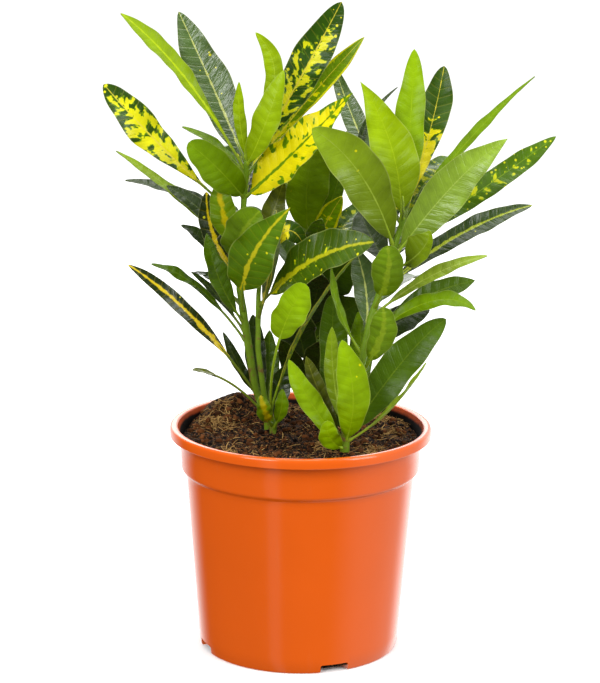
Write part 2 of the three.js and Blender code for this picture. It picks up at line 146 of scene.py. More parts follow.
def total(tree, first, *others):
    for other in others:
        first = calc(tree, "ADD", first, other)
    return first


def ramp(tree, value, low, high):
    """0 below low, 1 above high, and smooth in between."""
    made = tree.nodes.new("ShaderNodeMapRange")
    made.interpolation_type = "SMOOTHSTEP"
    for socket, given in zip(made.inputs, (value, low, high)):
        link_value(tree, given, socket)
    return made.outputs[0]


def parts(tree, vector):
    """The x, y and z of a vector, as three outputs."""
    made = tree.nodes.new("ShaderNodeSeparateXYZ")
    tree.links.new(vector, made.inputs[0])
    return made.outputs


# %% Surround
# each white has a strength and the range of the ray's direction over which it fades in
BACK_WHITE, BACK_RANGE = 1.5, (0.5, 0.9)
TOP_WHITE, TOP_RANGE = 0.4, (0.4, 0.8)
LAMP_AZIMUTH = math.radians(-27)
LAMP_WHITE, LAMP_RANGE = 0.5, (0.988, 0.997)
SIDE_AZIMUTH = math.radians(104)
SIDE_WHITE, SIDE_RANGE = 0.8, (0.3, 0.9)
ROOM_DARK = 0.02
FILL_LOW, FILL_HIGH, FILL_RANGE = 0.6, 1.25, (0.0, 0.8)

world = bpy.data.worlds.new("surround")
bpy.context.scene.world = world
world.use_nodes = True
world.cycles.sampling_method = "NONE"
sky = world.node_tree
side, depth, rise = parts(sky, sky.nodes.new("ShaderNodeTexCoord").outputs["Generated"])
flat_length = calc(sky, "SQRT", calc(sky, "SUBTRACT", 1.0, product(sky, rise, rise)))


def towards(azimuth):
    """How well a ray's compass direction agrees with an azimuth, 1 when it is the same."""
    across = calc(sky, "MULTIPLY", side, math.sin(azimuth))
    ahead = calc(sky, "MULTIPLY_ADD", depth, -math.cos(azimuth), across)
    return calc(sky, "DIVIDE", ahead, flat_length)


white_behind = product(sky, ramp(sky, depth, *BACK_RANGE), BACK_WHITE)
white_above = product(sky, ramp(sky, rise, *TOP_RANGE), TOP_WHITE)
lamp = product(sky, ramp(sky, towards(LAMP_AZIMUTH), *LAMP_RANGE), LAMP_WHITE)
side_panel = product(sky, ramp(sky, towards(SIDE_AZIMUTH), *SIDE_RANGE), SIDE_WHITE)
reflected = total(sky, calc(sky, "MAXIMUM", white_behind, white_above), lamp, side_panel, ROOM_DARK)
fill = calc(sky, "MULTIPLY_ADD", ramp(sky, rise, *FILL_RANGE), FILL_HIGH - FILL_LOW, FILL_LOW)
rays = sky.nodes.new("ShaderNodeLightPath").outputs
for_shine = product(sky, rays["Is Glossy Ray"], calc(sky, "SUBTRACT", reflected, 1.0))
for_fill = product(sky, rays["Is Diffuse Ray"], calc(sky, "SUBTRACT", fill, 1.0))
background = sky.nodes["Background"]
background.inputs["Color"].default_value = (1, 1, 1, 1)
sky.links.new(total(sky, for_shine, for_fill, 1.0), background.inputs["Strength"])
print("surround:", len(sky.nodes), "nodes")

# %% [markdown]
# A pale floor that runs far back under the white gives the clean bright ground of a studio. It is
# left out of reflections and fill, as its white would wash out the colours.

# %% Helpers for pieces and materials
def deselect():
    if bpy.context.object and bpy.context.object.mode != "OBJECT":
        bpy.ops.object.mode_set(mode="OBJECT")
    bpy.ops.object.select_all(action="DESELECT")


def choose(piece):
    """Makes one piece the selected and active one."""
    deselect()
    piece.select_set(True)
    bpy.context.view_layer.objects.active = piece


def settle(piece):
    """Moves a piece's place, turn and size into its mesh, so its object sits at the origin."""
    choose(piece)
    bpy.ops.object.transform_apply(location=True, rotation=True, scale=True)


def new_material(name):
    """A material, its node tree and its shader."""
    material = bpy.data.materials.new(name)
    material.use_nodes = True
    tree = material.node_tree
    return material, tree, tree.nodes["Principled BSDF"]


def set_shader(tree, shader, colour, roughness, specular):
    """Colour and roughness are values or outputs. The specular level is one value all over."""
    link_value(tree, colour, shader.inputs["Base Color"])
    link_value(tree, roughness, shader.inputs["Roughness"])
    shader.inputs["Specular IOR Level"].default_value = specular


# %% Floor
FLOOR_SIZE = 16
FLOOR_BEHIND = 3
FLOOR_GAP = 0.0004
FLOOR_WHITE = (0.98, 0.98, 0.98, 1)

deselect()
bpy.ops.mesh.primitive_plane_add(size=FLOOR_SIZE, location=(0, FLOOR_BEHIND, -FLOOR_GAP))
floor = bpy.context.object
floor.name = "floor"
settle(floor)
floor_finish, tree, shader = new_material("pale_floor")
set_shader(tree, shader, FLOOR_WHITE, 1.0, 0)
rays = tree.nodes.new("ShaderNodeLightPath").outputs
unseen = calc(tree, "MAXIMUM", rays["Is Glossy Ray"], rays["Is Diffuse Ray"])
clear = tree.nodes.new("ShaderNodeBsdfTransparent").outputs[0]
choice = tree.nodes.new("ShaderNodeMixShader")
for output, socket in zip((unseen, shader.outputs[0], clear), choice.inputs):
    tree.links.new(output, socket)
tree.links.new(choice.outputs[0], tree.nodes["Material Output"].inputs["Surface"])
floor.data.materials.append(floor_finish)
print("floor:", FLOOR_SIZE, "m wide")

# %% [markdown]
# ## A ring-by-ring tube
# The pot, the soil and the stems are all round things whose radius changes along their length.
# By hand, such a shape starts as a filled circle whose face is extruded, moved and resized again
# and again. Because the face travels along, the skin is closed at both ends. The next helper does
# these steps for a list of rings.

# %% Extrude a filled circle through rings
def edit_all(piece):
    """Opens a piece in edit mode with all of it selected."""
    choose(piece)
    bpy.ops.object.mode_set(mode="EDIT")
    bpy.ops.mesh.select_all(action="SELECT")


def point_outwards(piece):
    """Turns the faces of a closed skin so that they all point outwards."""
    edit_all(piece)
    bpy.ops.mesh.normals_make_consistent(inside=False)
    bpy.ops.object.mode_set(mode="OBJECT")


def ring_tube(name, sides, rings):
    """A closed tube through rings of (x, y, z, radius), all in millimetres."""
    deselect()
    x, y, z, radius = rings[0]
    bpy.ops.mesh.primitive_circle_add(
        vertices=sides, radius=radius * MM, fill_type="NGON", location=(x * MM, y * MM, z * MM))
    tube = bpy.context.object
    tube.name = name
    edit_all(tube)
    for before, after in zip(rings, rings[1:]):
        step = [(b - a) * MM for a, b in zip(before[:3], after[:3])]
        centre = [value * MM for value in after[:3]]
        bpy.ops.mesh.extrude_region_move(TRANSFORM_OT_translate={"value": step})
        bpy.ops.transform.resize(value=(after[3] / before[3],) * 3, center_override=centre)
    point_outwards(tube)
    settle(tube)
    return tube


# %% [markdown]
# ## The pot
# The real pot is moulded from thin polypropylene. Its wall widens upwards, steps out into a band,
# and ends in a rim that is rolled outwards and down, with a hollow skirt under it. Each of these
# is a few pairs of radius and height in the lists below, first up the outside and over the rim,
# then down the inside.

# %% Pot measures
POT_HEIGHT = 148
FOOT_RADIUS = 65.4
SHOULDER_RADIUS = 74.7
SHOULDER_HEIGHT = 117.3
BAND_RADIUS = 77.9
LIP_RADIUS = 85.4
LIP_HEIGHT = 6.4
POT_SIDES = 144

LIP_BOTTOM = POT_HEIGHT - LIP_HEIGHT
POT_OUTSIDE = [
    # foot and wall
    (FOOT_RADIUS - 1.0, 0), (FOOT_RADIUS - 0.4, 0.15), (FOOT_RADIUS, 0.8),
    (66.2, 10), (67.4, 25), (69.0, 45), (70.9, 69), (72.8, 93), (74.4, 113.5),
    # step out to the band
    (SHOULDER_RADIUS, SHOULDER_HEIGHT - 0.5), (74.9, SHOULDER_HEIGHT), (75.4, 117.9), (76.2, 118.5),
    (77.0, 119.1), (77.6, 119.7), (BAND_RADIUS, 120.4), (78.05, 121.5),
    # up the band and out under the rim
    (78.3, 130), (BAND_RADIUS + 0.6, 139.6), (78.8, 140.6), (79.1, 141.8), (81.3, 145.3), (83.8, 145.6),
    # down inside the skirt and round its lower edge
    (84.0, 144.6), (84.05, LIP_BOTTOM + 0.3), (84.3, LIP_BOTTOM), (85.1, LIP_BOTTOM),
    (85.35, LIP_BOTTOM + 0.3),
    # up the skirt and over the rim
    (LIP_RADIUS, 144.2), (85.3, 146.2), (85.1, 147.0), (84.7, 147.6), (84.2, 147.92),
    (83.6, POT_HEIGHT), (82.6, 147.93), (81.6, 147.8), (80.8, 147.6), (80.3, 147.2), (80.0, 146.6),
]
POT_INSIDE = [
    (79.4, 145.4), (77.8, 141.2), (77.2, 138.4), (76.6, 121.0), (75.9, 119.8),
    (73.8, 118.6), (73.3, 117.8), (70.6, 85), (67.6, 45), (64.0, 2.6), (62.5, 2.0),
]

# %% Extrude the pot wall
pot = ring_tube("pot_shell", POT_SIDES, [(0, 0, z, r) for r, z in POT_OUTSIDE + POT_INSIDE])
print("pot wall:", len(pot.data.polygons), "faces")

# %% [markdown]
# The foot has four raised drain pockets. Each is a notch that is open to the side, with a ceiling
# inside the pot and a drain hole in the ceiling. A block with rounded edges is joined for the
# ceiling, and a smaller one is cut out below it with a Boolean modifier. The cutting tools reach
# past the surfaces that they open, because a cut that ends on a surface can leave a thin skin.

# %% Blocks and Boolean cuts
def rounded_block(low, high, rounding, angle):
    """A block between two corners in millimetres, with rounded edges, turned about the Z axis."""
    deselect()
    size = [(b - a) * MM for a, b in zip(low, high)]
    middle = Vector([(a + b) / 2 * MM for a, b in zip(low, high)])
    place = Matrix.Rotation(angle, 3, "Z") @ middle
    bpy.ops.mesh.primitive_cube_add(size=1, location=place, rotation=(0, 0, angle), scale=size)
    block = bpy.context.object
    settle(block)
    edit_all(block)
    bpy.ops.mesh.bevel(offset=rounding * MM, segments=4, affect="EDGES")
    bpy.ops.object.mode_set(mode="OBJECT")
    return block


def combine(piece, tool, operation):
    """Joins a tool block to a piece or cuts it out, and removes the tool."""
    choose(piece)
    modifier = piece.modifiers.new("combine", "BOOLEAN")
    modifier.operation = operation
    modifier.solver = "EXACT"
    modifier.object = tool
    bpy.ops.object.modifier_apply(modifier=modifier.name)
    bpy.data.objects.remove(tool, do_unlink=True)


# %% Drain pockets
POT_WALL = 1.5
POCKET_COUNT = 4
POCKET_FIRST_ANGLE = math.radians(-69)
POCKET_HALF_WIDTH = 9.5
POCKET_HEIGHT = 5
POCKET_ROUNDING = 1.3
POCKET_INNER_RADIUS = 42
CEILING_BOTTOM = 0.5
CEILING_TOP = POCKET_HEIGHT + 1.6
CEILING_ROUNDING = 0.4
DRAIN_RADIUS = 4.5
DRAIN_DISTANCE = 52
DRAIN_SIDES = 32
DRAIN_CUT = 12
CUT_BELOW = 8
CUT_BEYOND = 12

for index in range(POCKET_COUNT):
    angle = POCKET_FIRST_ANGLE + index * 2 * math.pi / POCKET_COUNT
    ceiling = rounded_block(
        (POCKET_INNER_RADIUS - POT_WALL, -POCKET_HALF_WIDTH - POT_WALL, CEILING_BOTTOM),
        (FOOT_RADIUS - 1.0, POCKET_HALF_WIDTH + POT_WALL, CEILING_TOP), CEILING_ROUNDING, angle)
    combine(pot, ceiling, "UNION")
    notch = rounded_block(
        (POCKET_INNER_RADIUS, -POCKET_HALF_WIDTH, -CUT_BELOW),
        (FOOT_RADIUS + CUT_BEYOND, POCKET_HALF_WIDTH, POCKET_HEIGHT), POCKET_ROUNDING, angle)
    combine(pot, notch, "DIFFERENCE")
    deselect()
    x, y = DRAIN_DISTANCE * MM * math.cos(angle), DRAIN_DISTANCE * MM * math.sin(angle)
    bpy.ops.mesh.primitive_cylinder_add(
        vertices=DRAIN_SIDES, radius=DRAIN_RADIUS * MM, depth=DRAIN_CUT * MM,
        location=(x, y, DRAIN_CUT / 2 * MM))
    combine(pot, bpy.context.object, "DIFFERENCE")
settle(pot)
choose(pot)
bpy.ops.object.shade_smooth_by_angle(angle=math.radians(35))
print("pot with pockets:", len(pot.data.polygons), "faces")

# %% [markdown]
# ## The soil
# Damp peat fills the pot to a few millimetres under the rim. It has shrunk a little from the wall,
# and some was heaped up behind the left stem when the plant was potted. The body is another tube,
# whose top is a set of rings that go inwards. The heap is one vertex lifted with proportional
# editing, and the crumbs come from Displace modifiers with cloud textures.

# %% Soil body
SOIL_LEVEL = 143
SOIL_SIDES = 150
SOIL_SIDE = [(63.2, 2.4), (72.8, 118.0), (76.2, 121.4), (77.0, 138.5)]
SOIL_EDGE = [(76.7, 139.5), (75.2, 140.6), (73.0, 141.4), (70.5, 142.1), (68.0, 142.5)]
TOP_OUTER, TOP_INNER, TOP_RINGS = 65.8, 1.0, 32

soil_top = [(radius, SOIL_LEVEL) for radius in np.linspace(TOP_OUTER, TOP_INNER, TOP_RINGS)]
soil_rings = [(0, 0, z, r) for r, z in SOIL_SIDE + SOIL_EDGE + soil_top]
soil = ring_tube("soil_body", SOIL_SIDES, soil_rings)
print("soil body:", len(soil.data.polygons), "faces")

# %% Heap behind the left stem
HEAP_PLACE = Vector((-47, 51, SOIL_LEVEL)) * MM
HEAP_HEIGHT = 12.5
HEAP_SPREAD = 46

heap_top = min(soil.data.vertices, key=lambda vertex: (vertex.co - HEAP_PLACE).length).index
edit_all(soil)
bpy.ops.mesh.select_all(action="DESELECT")
bpy.ops.object.mode_set(mode="OBJECT")
soil.data.vertices[heap_top].select = True
bpy.ops.object.mode_set(mode="EDIT")
bpy.ops.mesh.select_mode(type="VERT")
bpy.ops.transform.translate(
    value=(0, 0, HEAP_HEIGHT * MM), use_proportional_edit=True,
    proportional_edit_falloff="SMOOTH", proportional_size=HEAP_SPREAD * MM)
bpy.ops.object.mode_set(mode="OBJECT")
print("top of the heap in mm:", round(soil.data.vertices[heap_top].co.z / MM, 1))

# %% Crumbly relief
SURFACE_FROM = 139.8
# size of the clouds and strength of the relief, in millimetres
RELIEF = {"lumps": (13, 4.6), "crumbs": (4.5, 3.8), "grit": (1.8, 1.7)}


def apply_modifiers(piece):
    choose(piece)
    for modifier in list(piece.modifiers):
        bpy.ops.object.modifier_apply(modifier=modifier.name)


surface = soil.vertex_groups.new(name="surface")
surface.add([v.index for v in soil.data.vertices if v.co.z > SURFACE_FROM * MM], 1.0, "REPLACE")
for name, (size, strength) in RELIEF.items():
    clouds = bpy.data.textures.new(name, "CLOUDS")
    clouds.noise_scale = size * MM
    clouds.noise_depth = 2
    relief = soil.modifiers.new(name, "DISPLACE")
    relief.texture = clouds
    relief.texture_coords = "LOCAL"
    relief.direction = "Z"
    relief.vertex_group = "surface"
    relief.mid_level = 0.5
    relief.strength = strength * MM
apply_modifiers(soil)
bpy.ops.object.shade_smooth()
print("relief on the soil:", ", ".join(RELIEF))

# %% [markdown]
# Loose bits lie on the soil: crumbs of peat and pale fibres of coir and bark. One crumb and one
# fibre are modelled, and copies with their own size and turn are dropped on the surface. A copy is
# never left hanging: a ray from above finds the height of the soil under it. The fibres lie in
# tufts, some of them at the places where the real plant shows them, in millimetres from its middle.

# %% One crumb and one fibre
CRUMB_UNEVEN = (0.72, 1.12)
FIBRE_LENGTH = 10
FIBRE_RADIUS = 0.22
FIBRE_BOW = 1.3
FIBRE_LIFT = 0.5
FIBRE_TWIST = 2.5
FIBRE_CUTS = np.linspace(-4, 4, 7)
chance = random.Random(17)


def cut_across(piece, places, axis):
    """Cuts a piece square to an axis at each place, in metres, so that it can bend there."""
    for place in places:
        edit_all(piece)
        bpy.ops.mesh.bisect(plane_co=Vector(axis) * place, plane_no=axis)
        bpy.ops.object.mode_set(mode="OBJECT")


def crumb_form():
    deselect()
    bpy.ops.mesh.primitive_ico_sphere_add(subdivisions=2, radius=MM)
    crumb = bpy.context.object
    for vertex in crumb.data.vertices:
        vertex.co *= chance.uniform(*CRUMB_UNEVEN)
    return crumb


def fibre_form():
    deselect()
    bpy.ops.mesh.primitive_cylinder_add(
        vertices=5, radius=FIBRE_RADIUS * MM, depth=FIBRE_LENGTH * MM, rotation=(0, math.pi / 2, 0))
    fibre = bpy.context.object
    settle(fibre)
    cut_across(fibre, FIBRE_CUTS * MM, (1, 0, 0))
    for vertex in fibre.data.vertices:
        along = vertex.co.x / (FIBRE_LENGTH / 2 * MM)
        vertex.co.y += FIBRE_BOW * MM * (1 - along * along)
        vertex.co.z += FIBRE_LIFT * MM * math.sin(FIBRE_TWIST * along)
    return fibre


# %% Scatter crumbs and fibres
TUFTS_SEEN = [(-52, 34), (-48, 8), (-58, 20), (66, 26), (58, 0)]
TUFT_SHARE = 0.75
TUFT_SPREAD = 5
RAY_HEIGHT = 170
BIT_TILT = 0.25
BIT_WIDTH = (0.7, 1.2)
BIT_HEIGHT = (0.6, 0.9)


def copy_of(form, name):
    """A copy of a form with its own mesh."""
    copy = bpy.data.objects.new(name, form.data.copy())
    bpy.context.collection.objects.link(copy)
    return copy


def join(pieces):
    """Joins pieces to the first of them."""
    choose(pieces[0])
    for piece in pieces[1:]:
        piece.select_set(True)
    bpy.ops.object.join()
    return pieces[0]


def scatter(form, name, count, sizes, sink, reach, tufts=0):
    """Copies a form over the soil, joined as one piece. Sizes is the range of its scale. With
    tufts, most copies lie in the tufts seen and in as many others, and the rest anywhere."""
    centres = [(chance.uniform(-reach, reach), chance.uniform(-reach, reach)) for _ in range(tufts)]
    if tufts:
        centres += TUFTS_SEEN
    copies = []
    while len(copies) < count:
        x = chance.uniform(-reach, reach)
        y = chance.uniform(-reach, reach)
        if centres and chance.random() < TUFT_SHARE:
            middle_x, middle_y = chance.choice(centres)
            x = chance.gauss(middle_x, TUFT_SPREAD)
            y = chance.gauss(middle_y, TUFT_SPREAD)
        if math.hypot(x, y) > reach:
            continue
        hit, place, normal, _ = soil.ray_cast(Vector((x, y, RAY_HEIGHT)) * MM, Vector((0, 0, -1)))
        if not hit:
            continue
        copy = copy_of(form, name)
        size = chance.uniform(*sizes)
        lean = normal.to_track_quat("Z", "Y").to_matrix().to_4x4()
        spin = Matrix.Rotation(chance.uniform(0, 2 * math.pi), 4, "Z")
        tilt = Matrix.Rotation(chance.uniform(-BIT_TILT, BIT_TILT), 4, "Y")
        width, height = chance.uniform(*BIT_WIDTH), chance.uniform(*BIT_HEIGHT)
        stretch = Matrix.Diagonal((size, size * width, size * height, 1))
        rest = Matrix.Translation(place + normal * sink * size * MM)
        copy.data.transform(rest @ lean @ spin @ tilt @ stretch)
        tone = copy.data.attributes.new("tone", "FLOAT", "POINT")
        tone.data.foreach_set("value", [chance.random()] * len(copy.data.vertices))
        copies.append(copy)
    bits = join(copies)
    bpy.ops.object.shade_smooth()
    bpy.data.objects.remove(form, do_unlink=True)
    return bits


soil_crumbs = scatter(crumb_form(), "soil_crumbs", 420, (0.7, 2.4), 0.15, 74)
soil_fibres = scatter(fibre_form(), "soil_fibres", 1200, (0.3, 1.1), 0.2, 73, tufts=9)
print("crumbs and fibres:", len(soil_crumbs.data.polygons), len(soil_fibres.data.polygons), "faces")

# %% [markdown]
# ## Stems and leaves: the measured plant
# Every leaf has one line of measures: where on its stem it starts, where its tip is, how far the
# middle of its path is off the straight line, how much of the path is stalk, how wide the blade
# is, how far its upper face turns to the front, its form, and its look. The CAD model has the same
# lines, so a leaf made here lies where its solid is.
#
# A form says how far the two halves fold up, in degrees, how high the edges wave, as a share of the
# width, where the blade is widest, as a share of its length, how pointed its outline is, where less
# is blunter, how far its base is drawn in to a neck, and how far its tip hooks down, in millimetres.

# %% Forms of blade
FORMS = {
    "plain": dict(fold=13, wave=0.05, widest=0.5, round=0.65, neck=0, hook=0),
    "lance": dict(fold=13, wave=0.05, widest=0.6, round=0.75, neck=0.4, hook=0),
    "ovate": dict(fold=12, wave=0.05, widest=0.38, round=0.95, neck=0, hook=0),
    "wavy": dict(fold=8, wave=0.11, widest=0.52, round=0.65, neck=0, hook=0),
    "rippled": dict(fold=9, wave=0.09, widest=0.6, round=0.62, neck=0.6, hook=0),
    "folded": dict(fold=28, wave=0.04, widest=0.48, round=0.7, neck=0, hook=0),
    "blunt": dict(fold=11, wave=0.04, widest=0.5, round=0.45, neck=0, hook=0),
    "hooked": dict(fold=15, wave=0.05, widest=0.48, round=0.7, neck=0, hook=10),
    "drooping": dict(fold=14, wave=0.06, widest=0.5, round=0.6, neck=0, hook=12),
}
print("forms of blade:", ", ".join(FORMS))

# %% [markdown]
# A croton's leaves differ in age and in how much yellow they carry. Young ones are lime, old ones
# dark and waxy, and the yellow comes as splashes along the side veins, as spots, as a band along
# the midrib or as a margin. A look sets these: the green and the yellow tone, how much is splashed
# and how much of that at the base, how many spots, the width of the band along the midrib in
# millimetres and its tone, the yellow of the margin, how much painted shade darkens the base, and
# the age. There are four ages: a young leaf is nearly matt, a grown one has a soft sheen, a waxed
# one is glossy, and an old one has a thick wax that looks grey in the light.

# %% Looks of leaves
# A look's share of painted shade darkens the base of its blades.
LOOKS = {
    "lime": dict(green=(158, 190, 0), rib=0.4, rib_tone=(180, 208, 26), age="young"),
    "lime_ribbed": dict(green=(138, 168, 0), rib=1.3, rib_tone=(180, 204, 8), age="young"),
    "bright": dict(green=(146, 184, 0), rib=0.4, rib_tone=(160, 194, 20), spots=0.02, age="young"),
    "soft_heart": dict(green=(112, 146, 6), rib=2.8, rib_tone=(144, 172, 24), age="grown"),
    "green": dict(green=(116, 152, 0), rib=0.4, rib_tone=(142, 172, 24), age="young"),
    "fresh": dict(green=(146, 172, 40), rib=0.5, rib_tone=(176, 196, 76), age="grown"),
    "pale": dict(green=(156, 192, 48), rib=0.4, rib_tone=(178, 206, 84), age="waxed", painted_base_shade=0.28),
    "grey_green": dict(green=(144, 174, 20), rib=0.5, rib_tone=(158, 182, 56), spots=0.04, age="grown",
                       painted_base_shade=0.42),
    "olive": dict(green=(96, 106, 14), rib=0.6, rib_tone=(142, 146, 36), age="grown"),
    "deep": dict(green=(84, 118, 0), rib=0.5, rib_tone=(116, 144, 22), age="grown"),
    "dark": dict(green=(46, 68, 4), rib=0.5, rib_tone=(80, 98, 20), age="waxed"),
    "slate": dict(green=(84, 114, 44), rib=0.9, rib_tone=(206, 214, 110), spots=0.08, age="old"),
    "splashed": dict(green=(52, 86, 4), rib=0.8, splash=0.68, spots=0.25, age="grown"),
    "gilded": dict(green=(50, 86, 4), rib=1.0, splash=0.52, spots=0.35, age="grown"),
    "golden": dict(green=(96, 136, 0), rib=1.5, rib_tone=(112, 150, 0), splash=0.85,
                   tone=(246, 232, 0), age="young"),
    "gold_base": dict(green=(62, 96, 6), rib=0.6, splash=0.28, at_base=2.6, tone=(255, 240, 0),
                      age="grown"),
    "edged": dict(green=(122, 160, 0), rib=0.5, edge=0.6, splash=0.3, at_base=0.5, age="young"),
    "flamed": dict(green=(40, 58, 6), rib=1.8, rib_tone=(242, 212, 0), spots=0.1, age="waxed"),
    "yellow_heart": dict(green=(116, 150, 4), rib=3.4, rib_tone=(210, 194, 6), age="grown"),
    "ribbed": dict(green=(96, 136, 0), rib=1.9, rib_tone=(220, 212, 20), spots=0.08, age="grown"),
    "streaked": dict(green=(72, 102, 0), rib=2.6, rib_tone=(196, 196, 14), spots=0.2, splash=0.12,
                     age="grown"),
    "ribbed_dark": dict(green=(52, 80, 10), rib=1.5, rib_tone=(186, 200, 30), spots=0.06, age="waxed",
                        painted_base_shade=0.3),
    "spotted": dict(green=(82, 120, 0), rib=0.5, spots=0.6, splash=0.3, rib_tone=(128, 160, 20),
                    tone=(214, 218, 0), age="grown", painted_base_shade=0.25),
}
print("looks of leaves:", ", ".join(LOOKS))

